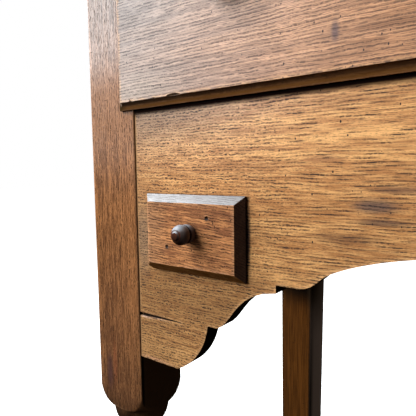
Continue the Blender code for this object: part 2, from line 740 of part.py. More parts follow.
def drawer_side(name, size, body, material, side, word):
    """A drawer side with tails at both ends and a groove for the bottom."""
    front_root = FRONT + size.tongue + FIT
    rear_end = FRONT + size.depth
    rear_root = rear_end - size.back - FIT
    tongue_foot = size.foot + size.play / 2
    back_foot = back_board_foot(size)
    outline = [(front_root, size.foot)]
    for foot, top in tail_row(size, tongue_foot):
        outline += tail_outline(front_root, FRONT + TAIL_LAP, foot, top, 0)
    outline += [(front_root, size.top), (rear_root, size.top)]
    for foot, top in reversed(tail_row(size, back_foot)):
        outline += reversed(tail_outline(rear_root, rear_end, foot, top, 0))
    outline += [(rear_root, back_foot - FIT), (rear_end, back_foot - FIT), (rear_end, size.foot)]
    outer = size.x + side * size.half
    inner = size.x + side * (size.half - size.side)
    x0, x1 = sorted((outer, inner))
    board = piece(f"{name}_side_{word}", prism(outline, "X", x0, x1), material, body, 0)
    g0, g1 = sorted((inner - side * size.side, inner + side * size.groove))
    groove_foot = size.foot + size.groove_rise
    combine(board, "DIFFERENCE", [box(
        (g0, front_root - FIT - size.groove, groove_foot - FIT),
        (g1, rear_end + size.back, groove_foot + size.bottom + FIT))])
    return board


def back_board_foot(size):
    """The drawer back stands on the bottom board."""
    return size.foot + size.groove_rise + size.bottom + FIT


def drawer_back(name, size, body, material):
    """A drawer back that takes the tails of both sides."""
    rear_end = FRONT + size.depth
    foot = back_board_foot(size)
    low = (size.x - size.half, rear_end - size.back, foot)
    high = (size.x + size.half, rear_end, size.top)
    back = piece(f"{name}_back", box(low, high), material, body, 0)
    cuts = []
    for side, _ in SIDES:
        x0, x1 = socket_span(size, side)
        for tail_foot, tail_top in tail_row(size, foot):
            outline = tail_outline(low[1] - FIT, rear_end + size.back, tail_foot, tail_top, FIT)
            cuts.append(prism(outline, "X", x0, x1))
    combine(back, "DIFFERENCE", cuts)
    return back


def drawer_bottom(name, size, body, material):
    """The bottom board, slid into its grooves from behind."""
    inner = size.half - size.side + size.groove - FIT
    foot = size.foot + size.groove_rise
    low = (size.x - inner, FRONT + size.tongue - size.groove + FIT, foot)
    high = (size.x + inner, FRONT + size.depth, foot + size.bottom)
    return piece(f"{name}_bottom", box(low, high), material, body, 0)


def spigot_length(size):
    """A knob's spigot stops short of the inside of the drawer front."""
    return size.lip + size.tongue - KNOB_BLIND


def knob_profile():
    """A turned knob outside the drawer, in ball radii: collar, groove, ball and tip."""
    profile = [(KNOB_BASE, 0)] + bead(KNOB_COLLAR, KNOB_BASE, KNOB_COLLAR_FOOT, KNOB_COLLAR_END, 5)
    first = -math.acos(KNOB_GROOVE)
    last = math.acos(KNOB_TIP)
    for i in range(CURVE_STEPS + 1):
        angle = first + (last - first) * i / CURVE_STEPS
        profile.append((math.cos(angle), KNOB_BALL_CENTRE + math.sin(angle)))
    profile += [(KNOB_TIP, KNOB_LENGTH - KNOB_TIP_EASE), (KNOB_TIP - KNOB_TIP_EASE, KNOB_LENGTH)]
    return profile


def knob(name, size, body, material, x, z):
    """A knob with its spigot glued into the drawer front."""
    spigot = KNOB_SPIGOT * size.knob
    profile = [(spigot, -spigot_length(size)), (spigot, 0)]
    profile += [(radius * size.knob, along * size.knob) for radius, along in knob_profile()]
    rings = turned(profile, (x, FRONT - size.lip - FIT, z), "Y", KNOB_SEGMENTS)
    obj = add_object(name, closed_mesh(name, [rings]), body)
    obj.data.materials.append(material)
    obj.data.shade_smooth()
    obj.data.set_sharp_from_angle(angle=math.radians(40))
    return obj


def drawer(name, size, knobs, woods):
    """A whole drawer on one sliding body; knobs maps each knob's name to its place."""
    body = body_empty(f"{name}_slide", (size.x, FRONT, (size.foot + size.top) / 2))
    drawer_front(name, size, body, woods["front"], knobs.values())
    for side, word in SIDES:
        drawer_side(name, size, body, woods["lining"], side, word)
    drawer_back(name, size, body, woods["lining"])
    drawer_bottom(name, size, body, woods["lining"])
    for knob_name, (x, z) in knobs.items():
        knob(knob_name, size, body, woods["knob"], x, z)


def main():
    """Build the whole dresser."""
    for obj in list(bpy.data.objects):
        bpy.data.objects.remove(obj)
    woods = {
        "leg": finish("oak, leg", (0.15, 0.07, 0.03), 0.42),
        "front": finish("oak, front", (0.36, 0.17, 0.06), 0.40),
        "case": finish("oak, case", (0.24, 0.12, 0.05), 0.48),
        "lining": finish("oak, lining", (0.46, 0.31, 0.17), 0.65),
        "knob": finish("fruitwood, knob", (0.05, 0.02, 0.012), 0.25),
    }
    for side, word in SIDES:
        front_leg(side, word, woods["leg"])
        rear_leg(side, word, woods["leg"])
        side_panel(side, word, woods["case"])
        bearers(side, word, woods["lining"])
        spice_bearers(side, word, woods["lining"])
    apron(woods["front"])
    back_boards(woods["case"])
    top_rail(woods["case"])
    top_boards(woods["case"])
    glue_blocks(woods["lining"])
    long = long_sizes()
    middle = (long.foot + long.top) / 2
    places = {
        f"long_drawer_knob_{word}": (side * (long.lip_x - LONG_KNOB_FROM_END), middle + LONG_KNOB_RISE)
        for side, word in SIDES
    }
    drawer("long_drawer", long, places, woods)
    for side, word in SIDES:
        name = f"spice_drawer_{word}"
        place = (side * (SPICE_X - SPICE_KNOB_OFFSET), SPICE_Z + SPICE_KNOB_RISE)
        drawer(name, spice_sizes(side), {f"{name}_knob": place}, woods)


main()
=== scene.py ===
# %% [markdown]
# # Dressing an old oak dresser
# The dresser is a case of waxed oak: one long lipped drawer over a shaped apron that holds two spice
# drawers. The solids, at their real size, come from the frame. This lesson adds what the eye needs: open
# pores, wax rubbed thin on the arrises, a split in the apron, smooth turned work. Everything stays in
# metres, with +Z up and the front facing -Y.

# %% Load the frame
import json
import math

import bmesh
import bpy
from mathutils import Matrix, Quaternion, Vector, noise


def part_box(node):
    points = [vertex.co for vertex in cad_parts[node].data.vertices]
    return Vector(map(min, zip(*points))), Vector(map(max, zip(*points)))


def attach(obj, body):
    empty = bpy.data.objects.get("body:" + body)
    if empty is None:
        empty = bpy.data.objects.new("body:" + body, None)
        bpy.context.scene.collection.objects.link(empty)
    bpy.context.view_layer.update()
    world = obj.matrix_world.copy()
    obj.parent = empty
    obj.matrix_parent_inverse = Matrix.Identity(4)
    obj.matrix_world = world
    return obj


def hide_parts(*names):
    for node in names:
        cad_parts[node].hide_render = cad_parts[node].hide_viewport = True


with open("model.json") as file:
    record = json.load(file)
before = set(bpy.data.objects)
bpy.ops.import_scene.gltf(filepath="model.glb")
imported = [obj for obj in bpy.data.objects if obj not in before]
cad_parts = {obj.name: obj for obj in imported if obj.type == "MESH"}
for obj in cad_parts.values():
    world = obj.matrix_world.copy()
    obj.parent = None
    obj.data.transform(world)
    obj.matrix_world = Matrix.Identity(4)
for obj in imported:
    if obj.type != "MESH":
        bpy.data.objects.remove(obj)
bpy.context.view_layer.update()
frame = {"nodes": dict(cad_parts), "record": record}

nodes = frame["nodes"]

# %% [markdown]
# ## The camera
# The photograph was taken close to the left front corner, at the height of the apron, looking left. A
# camera could be turned by eye until the edges agree. Here it stands where a fit to the edges of the
# post, the drawers and the apron puts it, so that every other difference is one of shape or finish.

# %% Camera
MM = 0.001
CAMERA_AT = Vector((-20.1, -508.3, 501.8)) * MM
CAMERA_LOOKS = Vector((-0.5996, 0.7952, -0.0898))
CAMERA_ROLL = -0.014
LENS_MM = 37.1
SENSOR_MM = 36.0
NEAREST = 10 * MM


def new_object(name, data):
    """A new object, linked to the scene."""
    obj = bpy.data.objects.new(name, data)
    bpy.context.scene.collection.objects.link(obj)
    return obj


camera = new_object("camera", bpy.data.cameras.new("camera"))
camera.data.lens = LENS_MM
camera.data.sensor_width = SENSOR_MM
camera.data.clip_start = NEAREST
camera.location = CAMERA_AT
camera.rotation_mode = "QUATERNION"
camera.rotation_quaternion = CAMERA_LOOKS.to_track_quat("-Z", "Y") @ Quaternion((0, 0, 1), CAMERA_ROLL)
bpy.context.scene.camera = camera

# %% [markdown]
# ## Small tools for shader nodes
# A shader tree is a list of nodes and wires. Written out in full, each wire takes several lines. These
# helpers keep it to one: `put` adds a node and fills its inputs from values or other sockets, and the
# rest build on it. Two more make and place groups of nodes.

# %% Node helpers
def feed(tree, inputs, values):
    """Feed a node's inputs, by name or number, from sockets or plain values."""
    for key, value in values.items():
        if isinstance(value, bpy.types.NodeSocket):
            tree.links.new(value, inputs[key])
        elif inputs[key].type == "RGBA":
            inputs[key].default_value = (*value, 1)
        else:
            inputs[key].default_value = value


def put(tree, kind, values=None, **settings):
    """Add a node with its settings and inputs, and return its outputs."""
    node = tree.nodes.new("ShaderNode" + kind)
    for key, value in settings.items():
        setattr(node, key, value)
    feed(tree, node.inputs, values or {})
    return node.outputs


def calc(tree, operation, *values):
    """Arithmetic on values or sockets."""
    return put(tree, "Math", dict(enumerate(values)), operation=operation)[0]


def times(tree, first, second):
    """A product of values or sockets."""
    return calc(tree, "MULTIPLY", first, second)


def linear(tree, value, slope, start):
    """A value times a slope, plus a start."""
    return calc(tree, "MULTIPLY_ADD", value, slope, start)


def ramp(tree, value, start, end, low=0.0, high=1.0):
    """A soft step from low to high, while the value goes from start to end."""
    values = {"Value": value, "From Min": start, "From Max": end, "To Min": low, "To Max": high}
    return put(tree, "MapRange", values, interpolation_type="SMOOTHSTEP")[0]


def tint(tree, amount, first, second, mode="MIX"):
    """One colour turned into another by an amount."""
    values = {0: amount, 6: first, 7: second}
    return put(tree, "Mix", values, data_type="RGBA", blend_type=mode)[2]


def vector(tree, operation, *values):
    """Arithmetic on coordinates. A length comes out as a plain value."""
    made = put(tree, "VectorMath", dict(enumerate(values)), operation=operation)
    return made["Value" if operation == "LENGTH" else "Vector"]


def clouds(tree, place, scale=1.0, detail=1.0):
    """A soft noise from 0 to 1."""
    return put(tree, "TexNoise", {"Vector": place, "Scale": scale, "Detail": detail})["Fac"]


def swing(tree, value):
    """A noise from 0 to 1 as a swing to both sides of nothing."""
    return calc(tree, "SUBTRACT", value, 0.5)


# %% Group helpers
def new_group(name, inputs, outputs):
    """An empty group with its sockets. An input starts as a number, and is a vector where that is None."""
    tree = bpy.data.node_groups.new(name, "ShaderNodeTree")
    for label, value in inputs.items():
        kind = "NodeSocketVector" if value is None else "NodeSocketFloat"
        socket = tree.interface.new_socket(label, in_out="INPUT", socket_type=kind)
        if value is not None:
            socket.default_value = value
    for label in outputs:
        tree.interface.new_socket(label, in_out="OUTPUT", socket_type="NodeSocketFloat")
    given = tree.nodes.new("NodeGroupInput").outputs
    made = tree.nodes.new("NodeGroupOutput").inputs
    return tree, given, made


def use_group(tree, group, values):
    """Place a group in a tree with its own values."""
    return put(tree, "Group", values, node_tree=group)


# %% [markdown]
# ## The stage
# The photograph's background is plain white, so the stage is a pale floor and nothing else. A strong lamp
# would whiten the floor and spoil the wood, so the floor and the world are white only to the eye and to
# reflections, and quiet to the light that bounces.

# %% Floor
WHITE = (1, 1, 1)
FLOOR_HALF = 12.0
FLOOR_PALE = (0.82, 0.82, 0.82)
FLOOR_BOUNCE = (0.03, 0.028, 0.026)
FLOOR_LIFT = (0.55, 1.3, 0.5, 1.0)


def seen_directly(tree):
    """1 for what the camera, a reflection or a clear pane sees, 0 for light that bounces."""
    path = put(tree, "LightPath")
    mirrored = calc(tree, "MAXIMUM", path["Is Glossy Ray"], path["Is Transmission Ray"])
    return calc(tree, "MAXIMUM", path["Is Camera Ray"], mirrored)


def floor_finish():
    """Pale paper that reads as white, yet still takes a shadow near the object."""
    material = bpy.data.materials.new("pale_floor")
    material.use_nodes = True
    tree = material.node_tree
    tree.nodes.clear()
    reach = vector(tree, "LENGTH", put(tree, "TexCoord")["Object"])
    strength = ramp(tree, reach, *FLOOR_LIFT)
    quiet = put(tree, "BsdfDiffuse", {"Color": FLOOR_BOUNCE})[0]
    paper = put(tree, "BsdfDiffuse", {"Color": FLOOR_PALE})[0]
    lift = put(tree, "Emission", {"Color": WHITE, "Strength": strength})[0]
    pale = put(tree, "AddShader", {0: paper, 1: lift})[0]
    mixed = put(tree, "MixShader", {0: seen_directly(tree), 1: quiet, 2: pale})[0]
    put(tree, "OutputMaterial", {"Surface": mixed})
    return material


floor_mesh = bpy.data.meshes.new("floor")
corners = [(x * FLOOR_HALF, y * FLOOR_HALF, 0) for x, y in ((-1, -1), (1, -1), (1, 1), (-1, 1))]
floor_mesh.from_pydata(corners, [], [(0, 1, 2, 3)])
floor_mesh.materials.append(floor_finish())
floor = new_object("floor", floor_mesh)
print("floor", 2 * FLOOR_HALF, "m wide")

# %% World
WORLD_DIM = (0.02, 0.0205, 0.0215)

world = bpy.data.worlds.new("studio")
world.use_nodes = True
bpy.context.scene.world = world
world.node_tree.nodes.clear()
sky = tint(world.node_tree, seen_directly(world.node_tree), WORLD_DIM, WHITE)
glow = put(world.node_tree, "Background", {"Color": sky, "Strength": 1.0})[0]
put(world.node_tree, "OutputWorld", {"Surface": glow})
bpy.context.scene.view_settings.view_transform = "Standard"
print("world:", world.name)

# %% [markdown]
# ## The lights
# The sheen on the drawer's upper left shows one broad window-like light, high on the left. The white
# bevel over the spice drawer mirrors a place overhead, where a second lamp hangs: it barely touches what
# looks to the front. A third, weaker one stands on the right, behind the line of the front, and so keeps
# the bevels that look to the right as dark as they are in the photograph.

# %% Lights
AIM = Vector((-0.22, -0.2, 0.45))


def soft_light(name, direction, distance, width, height, watts, colour):
    """An area lamp that faces the left front corner."""
    lamp = bpy.data.lights.new(name, "AREA")
    lamp.shape = "RECTANGLE"
    lamp.size = width
    lamp.size_y = height
    lamp.energy = watts
    lamp.color = colour
    obj = new_object(name, lamp)
    obj.location = AIM + Vector(direction).normalized() * distance
    obj.rotation_mode = "QUATERNION"
    obj.rotation_quaternion = (AIM - obj.location).to_track_quat("-Z", "Y")


soft_light("window_left", direction=(-0.711, -0.444, 0.545), distance=1.6, width=1.85, height=1.55,
           watts=89, colour=(0.94, 0.97, 1.0))
soft_light("ceiling", direction=(-0.52, -0.06, 0.85), distance=1.5, width=1.6, height=1.2,
           watts=25, colour=(0.9, 0.95, 1.0))
soft_light("room_right", direction=(0.75, 0.42, 0.55), distance=2.3, width=1.0, height=1.0,
           watts=16, colour=(1.0, 0.97, 0.93))

# %% [markdown]
# ## Oak grain
# Oak is ring-porous: each year starts with a row of wide vessels, and on a planed board these are cut
# open as thin dark lines that follow the grain and break up into dashes. A picture of oak could be
# wrapped on, but it would stretch on turned and bevelled surfaces. This group works it out from the place
# in the board, with the grain along X. The lines are the ridges of an even wave across the grain, which a
# soft noise makes drift. Specks and scratches come from a cell noise, where each cell draws whether it
# holds a mark, and its size.

# %% Marks group
MARK_FRAYED = 0.12
MARK_RIM = 0.06
MARK_SOFT = 0.03


def build_marks(name, along, across, low, spread):
    """Marks on a board: cells to the metre along and across the grain, smallest radius and its spread."""
    tree, given, made = new_group(name, {"Vector": None, "Rough": 0.5, "Amount": 0.3}, ["Mark"])
    grid = vector(tree, "MULTIPLY", given["Vector"], (along, across, across))
    cells = put(tree, "TexVoronoi", {"Vector": grid, "Scale": 1.0})
    chance = put(tree, "SeparateColor", {0: cells["Color"]})
    chosen = calc(tree, "LESS_THAN", chance[1], given["Amount"])
    radius = linear(tree, chance[2], spread, low)
    reach = linear(tree, given["Rough"], MARK_FRAYED, cells["Distance"])
    near = calc(tree, "SUBTRACT", calc(tree, "ADD", radius, MARK_RIM), reach)
    mark = ramp(tree, near, -MARK_SOFT, MARK_SOFT)
    feed(tree, made, {"Mark": times(tree, mark, chosen)})
    return tree


speck_group = build_marks("specks", along=200, across=120, low=0.04, spread=0.08)
scratch_group = build_marks("cross_scratches", along=190, across=50, low=0.05, spread=0.07)
print("mark groups:", speck_group.name, "and", scratch_group.name)

# %% Grain helpers
BENDS_PER_M = (3, 9, 9)
CURLS_PER_M = (200, 260, 260)


def bent_place(tree, place, wave, curl):
    """The place in the board, moved across the grain by slow bends and quick curls."""
    slow = swing(tree, clouds(tree, vector(tree, "MULTIPLY", place, BENDS_PER_M)))
    quick = swing(tree, clouds(tree, vector(tree, "MULTIPLY", place, CURLS_PER_M)))
    bend = times(tree, calc(tree, "ADD", slow, times(tree, quick, curl)), wave)
    offset = put(tree, "CombineXYZ", {1: bend, 2: bend})[0]
    return vector(tree, "ADD", place, offset)


def streaks(tree, place, long, wide, detail=1, finer=1.0):
    """A noise drawn out along the grain, in streaks of about that length and width."""
    size = put(tree, "CombineXYZ", {0: long, 1: wide, 2: wide})[0]
    cell = vector(tree, "DIVIDE", place, size)
    return clouds(tree, vector(tree, "MULTIPLY", cell, (1.0, finer, finer)), detail=detail)


# %% Grain group
GRAIN_INPUTS = {
    "Vector": None, "Wave": 0.005, "Curl": 0.1, "Year": 0.009, "Line Length": 0.04, "Line Spacing": 0.0018,
    "Line Width": 0.54, "Dash Length": 0.02, "Dot Length": 0.004, "Dashes": 0.6, "Short": 0.0, "Soft": 0.2,
    "Drift": 1.0, "Specks": 0.3, "Scratches": 0.12,
}
SLANT = 0.8
DRIFT_LENGTH = 0.05
DRIFT_SPACINGS = 5.0
LINE_FLANK = 0.35
YEAR_LENGTH = 0.6
PATCH_SIZE = (0.14, 0.03)
FADED_SIZE = (0.03, 0.007)
FADED_STEP = (0.3, 0.65, 0.72, 1.0)
GRIT_PER_M = 650
GRIT_STEP = (0.32, 0.52, 0.5, 1.0)
FEWEST_DASHES = 0.72
DASHES_WEIGHT = 0.4
PATCH_WEIGHT = 0.22
FINE_FIBRES = 2.1
FINE_PORES = 2.3
FINE_PORE_WEIGHT = 0.75
SCRATCH_WEIGHT = 0.7
FIBRE_RELIEF = 0.3
FINE_SHARE = 0.4
COARSE_SHARE = 0.6
BAND_STEP = (0.33, 0.67)
FIBRE_STEP = (0.36, 0.64)


def build_grain():
    """Years, fibres, pores and marks of a board, from the place in it."""
    outputs = ["Bands", "Fibres", "Pores", "Marks", "Height"]
    tree, given, made = new_group("oak_grain", GRAIN_INPUTS, outputs)
    spacing = given["Line Spacing"]
    place = bent_place(tree, given["Vector"], given["Wave"], given["Curl"])

    parts = put(tree, "SeparateXYZ", {0: place})
    across = linear(tree, parts[1], SLANT, parts[2])
    drift = streaks(tree, place, DRIFT_LENGTH, times(tree, spacing, DRIFT_SPACINGS))
    phase = linear(tree, drift, given["Drift"], calc(tree, "DIVIDE", across, spacing))

    years = streaks(tree, place, YEAR_LENGTH, given["Year"], detail=2)
    coarse = streaks(tree, place, given["Line Length"], spacing)
    fine = streaks(tree, place, given["Line Length"], spacing, detail=0, finer=FINE_FIBRES)
    gaps = streaks(tree, place, given["Dash Length"], spacing)
    dots = streaks(tree, place, given["Dot Length"], spacing)
    gaps = linear(tree, calc(tree, "SUBTRACT", dots, gaps), given["Short"], gaps)
    fine_dots = streaks(tree, place, given["Dot Length"], spacing, finer=FINE_PORES)
    patches = swing(tree, streaks(tree, place, *PATCH_SIZE, detail=2))
    level = linear(tree, given["Dashes"], -DASHES_WEIGHT, FEWEST_DASHES)
    level = linear(tree, patches, PATCH_WEIGHT, level)

    def broken_lines(often, breaks):
        """Ridges of the wave across the grain, cut into dashes where a noise is low."""
        ridge = calc(tree, "PINGPONG", times(tree, phase, often), 0.5)
        start = calc(tree, "SUBTRACT", 1.0, given["Line Width"])
        full = linear(tree, given["Line Width"], -LINE_FLANK, 1.0)
        lines = ramp(tree, times(tree, ridge, 2.0), start, full)
        dashes = ramp(tree, breaks, level, calc(tree, "ADD", level, given["Soft"]))
        return times(tree, lines, dashes)

    fine_pores = times(tree, broken_lines(FINE_PORES, fine_dots), FINE_PORE_WEIGHT)
    pores = calc(tree, "MAXIMUM", broken_lines(1.0, gaps), fine_pores)
    faded = ramp(tree, streaks(tree, place, *FADED_SIZE), *FADED_STEP)
    grit = ramp(tree, clouds(tree, place, GRIT_PER_M), *GRIT_STEP)
    pores = times(tree, pores, times(tree, faded, grit))

    specks = {"Vector": given["Vector"], "Rough": gaps, "Amount": given["Specks"]}
    specks = use_group(tree, speck_group, specks)["Mark"]
    cuts = use_group(tree, scratch_group, {"Vector": place, "Rough": gaps, "Amount": given["Scratches"]})
    marks = calc(tree, "MAXIMUM", specks, times(tree, cuts["Mark"], SCRATCH_WEIGHT))
    hollow = calc(tree, "MAXIMUM", pores, marks)
    fibres = linear(tree, fine, FINE_SHARE, times(tree, coarse, COARSE_SHARE))
    height = calc(tree, "SUBTRACT", times(tree, coarse, FIBRE_RELIEF), hollow)
    feed(tree, made, {
        "Bands": ramp(tree, years, *BAND_STEP), "Fibres": ramp(tree, fibres, *FIBRE_STEP),
        "Pores": pores, "Marks": marks, "Height": height,
    })
    return tree


grain_group = build_grain()
print("grain group has", len(grain_group.nodes), "nodes")

# %% [markdown]
# ## Wear, wax and painted shade
# Hands and cloths rub the arrises pale, and the inner corners get painted shade. Both could be painted by
# hand. Ambient occlusion finds them by itself: from inside the wood it is dark at an outer edge, and from
# outside it is dark in a corner. The polish lies where a cloth reaches, on faces that look to the front,
# up or out. Painted shade also darkens the lower parts, the faces that look inwards and those that look
# down.
# Each pair below is where a soft step starts and ends: shares of shade, parts of a normal, or heights.

# %% Wear group
RAYS = 6
CORNER_WIDTH = 10 * MM
WEAR_PER_M = 130
EDGE_SHADE = (0.05, 0.22)
EDGE_BREAKS = (0.25, 0.6)
CORNER_SHADE = (0.8, 0.25)
TO_FRONT = (0.6, 0.9)
TO_OUTSIDE = (0.5, 0.8)
TO_INSIDE = (-0.35, -0.75)
UPRIGHT = (-0.12, -0.02)
NOT_UNDER = (-0.1, 0.0)
TO_TOP = (0.3, 0.6)
TO_FLOOR = (-0.05, -0.6)
WAX_RISES = (0.45, 0.57, 0.08, 1.0)
# Painted shade: the lower parts darken between these two heights.
LOW_SHADE_STEP = (0.52, 0.26)


def build_wear():
    """Masks of rubbing and polish, and of painted shade in corners, low down and on inward and under
    faces.
    """
    tree, given, made = new_group(
        "wear_and_wax",
        {"Vector": None, "Normal": None, "Edge Width": 0.0025},
        ["Rubbed", "Painted Corner Shade", "Polish", "Low", "Inward", "Under", "Facing Up"],
    )
    edge = {"Distance": given["Edge Width"]}
    inside = put(tree, "AmbientOcclusion", edge, inside=True, only_local=True, samples=RAYS)["AO"]
    outside = put(tree, "AmbientOcclusion", {"Distance": CORNER_WIDTH}, samples=RAYS)["AO"]
    arris = ramp(tree, calc(tree, "SUBTRACT", 1.0, inside), *EDGE_SHADE)
    breaks = ramp(tree, clouds(tree, given["Vector"], WEAR_PER_M, detail=2), *EDGE_BREAKS)
    rubbed = times(tree, arris, breaks)
    # Painted shade in the inner corners, from ambient occlusion; wax and rubbing stay out of them.
    painted_corner_shade = ramp(tree, outside, *CORNER_SHADE)
    clean = calc(tree, "SUBTRACT", 1.0, painted_corner_shade)

    facing = put(tree, "SeparateXYZ", {0: given["Normal"]})
    parts = put(tree, "SeparateXYZ", {0: given["Vector"]})
    outward = times(tree, facing[0], calc(tree, "SIGN", parts[0]))
    forward = times(tree, facing[1], -1.0)
    shown = calc(tree, "MAXIMUM", ramp(tree, forward, *TO_FRONT), ramp(tree, outward, *TO_OUTSIDE))
    shown = times(tree, shown, ramp(tree, facing[2], *UPRIGHT))
    facing_up = ramp(tree, facing[2], *TO_TOP)
    level = calc(tree, "SUBTRACT", ramp(tree, facing[2], *NOT_UNDER), facing_up)
    polish = times(tree, calc(tree, "MAXIMUM", shown, facing_up), ramp(tree, parts[2], *WAX_RISES))

    # Inward and Under mark where shade is painted on faces that look inwards and down.
    feed(tree, made, {
        "Rubbed": times(tree, times(tree, rubbed, level), clean), "Painted Corner Shade": painted_corner_shade,
        "Polish": times(tree, polish, clean), "Low": ramp(tree, parts[2], *LOW_SHADE_STEP),
        "Inward": ramp(tree, outward, *TO_INSIDE), "Under": ramp(tree, facing[2], *TO_FLOOR),
        "Facing Up": facing_up,
    })
    return tree


wear_group = build_wear()
print("wear group has", len(wear_group.nodes), "nodes")

# %% [markdown]
# ## Stains and painted shadows
# An old board isn't one colour: it has pale patches, dark bands and greyed corners. The shade where boards
# meet is painted here as well. All of these could be painted on an image, which ties the finish to one
# unwrapped mesh. This group gives a mask that fades out from a centre, with its own reach along each axis
# and an uneven outline.

# %% Spot group
SPOT_RAGGED = 0.6
SPOT_FADES = (1.1, 0.2)


def build_spot():
    """A mask that fades out from a centre, with an uneven outline."""
    inputs = {"Vector": None, "Centre": None, "Reach": None, "Ragged": 0.5, "Amount": 1.0}
    tree, given, made = new_group("soft_spot", inputs, ["Mask"])
    aside = vector(tree, "SUBTRACT", given["Vector"], given["Centre"])
    far = vector(tree, "LENGTH", vector(tree, "DIVIDE", aside, given["Reach"]))
    far = linear(tree, swing(tree, given["Ragged"]), SPOT_RAGGED, far)
    feed(tree, made, {"Mask": ramp(tree, far, *SPOT_FADES, 0.0, given["Amount"])})
    return tree


spot_group = build_spot()
print("spot group has", len(spot_group.nodes), "nodes")

# %% [markdown]
# ## The oak of this dresser
# One function makes every oak, because the boards came from the same wood and differ in cut, colour and
# polish. A tree for each board would allow more, but every mend would have to be made ten times. Stains
# lie under the dark pores, arrises are rubbed pale, and painted shade darkens corners, low parts and faces
# that look inwards and down. Painted shadows lie over all. The wax is the shader's coat, which pores and
# marks break up.

# %% Board helpers
GRAIN_AXES = {"X": (0, 1, 2), "Y": (1, 0, 2), "Z": (2, 0, 1)}
LONG_GRAIN_CURL = 0.08
LONG_GRAIN_SOFT = 0.26
SHORT_GRAIN_SOFTER = -0.12
SHORT_GRAIN_DASHES = -0.06


def along_grain(tree, parts, axis, slope):
    """Coordinates of a board with its grain along X, turned by a small slope."""
    along = put(tree, "CombineXYZ", {i: parts[k] for i, k in enumerate(GRAIN_AXES[axis])})[0]
    turn = {"Vector": along, "Axis": (0, 1, 0), "Angle": slope}
    return put(tree, "VectorRotate", turn, rotation_type="AXIS_ANGLE")[0]


def shorter_outside(tree, parts, grain, start, end):
    """Values of a grain whose dashes grow shorter between two distances from the middle."""
    short = ramp(tree, calc(tree, "ABSOLUTE", parts[0]), start, end)
    return {
        **grain,
        "Short": short,
        "Curl": linear(tree, short, grain["Curl"], LONG_GRAIN_CURL),
        "Soft": linear(tree, short, SHORT_GRAIN_SOFTER, LONG_GRAIN_SOFT),
        "Dashes": linear(tree, short, SHORT_GRAIN_DASHES, grain["Dashes"]),
    }


def lay_spots(tree, place, ragged, colour, waxed, spots):
    """Lay spots on a colour, each with its centre, reach, amount, colour and how much it dulls the wax."""
    for centre, reach, amount, stain, dulled in spots:
        values = {"Vector": place, "Centre": centre, "Reach": reach, "Ragged": ragged, "Amount": amount}
        mask = use_group(tree, spot_group, values)["Mask"]
        colour = tint(tree, mask, colour, stain)
        waxed = times(tree, waxed, linear(tree, mask, -dulled, 1.0))
    return colour, waxed


# %% Oak function
WAX_ROUGHNESS = 0.32
BARE_GLOSS = 0.0
DUST = (0.115, 0.106, 0.103)
# Painted shade for faces that look inwards and down, where a finish gives no colour of its own.
SHADED_SIDE = (0.03, 0.017, 0.009)
SHADE = (0.12, 0.12, 0.13)
BROAD_PER_M = (3, 11, 11)
FIBRE_TONE = 0.5
BAND_TONE = 0.35
BROAD_TONE = 0.9
TONE_STEP = (0.0, 0.9)
RUBBED_SHOWS = 0.6
RUBBED_WAX = -0.5
DUST_COVERS = 0.4
UNDER_SHOWS = 0.8
ROUGH_SWING = 0.16
PORE_DEPTH = 0.4 * MM
WAX_STREAKED = (0.25, 0.75)


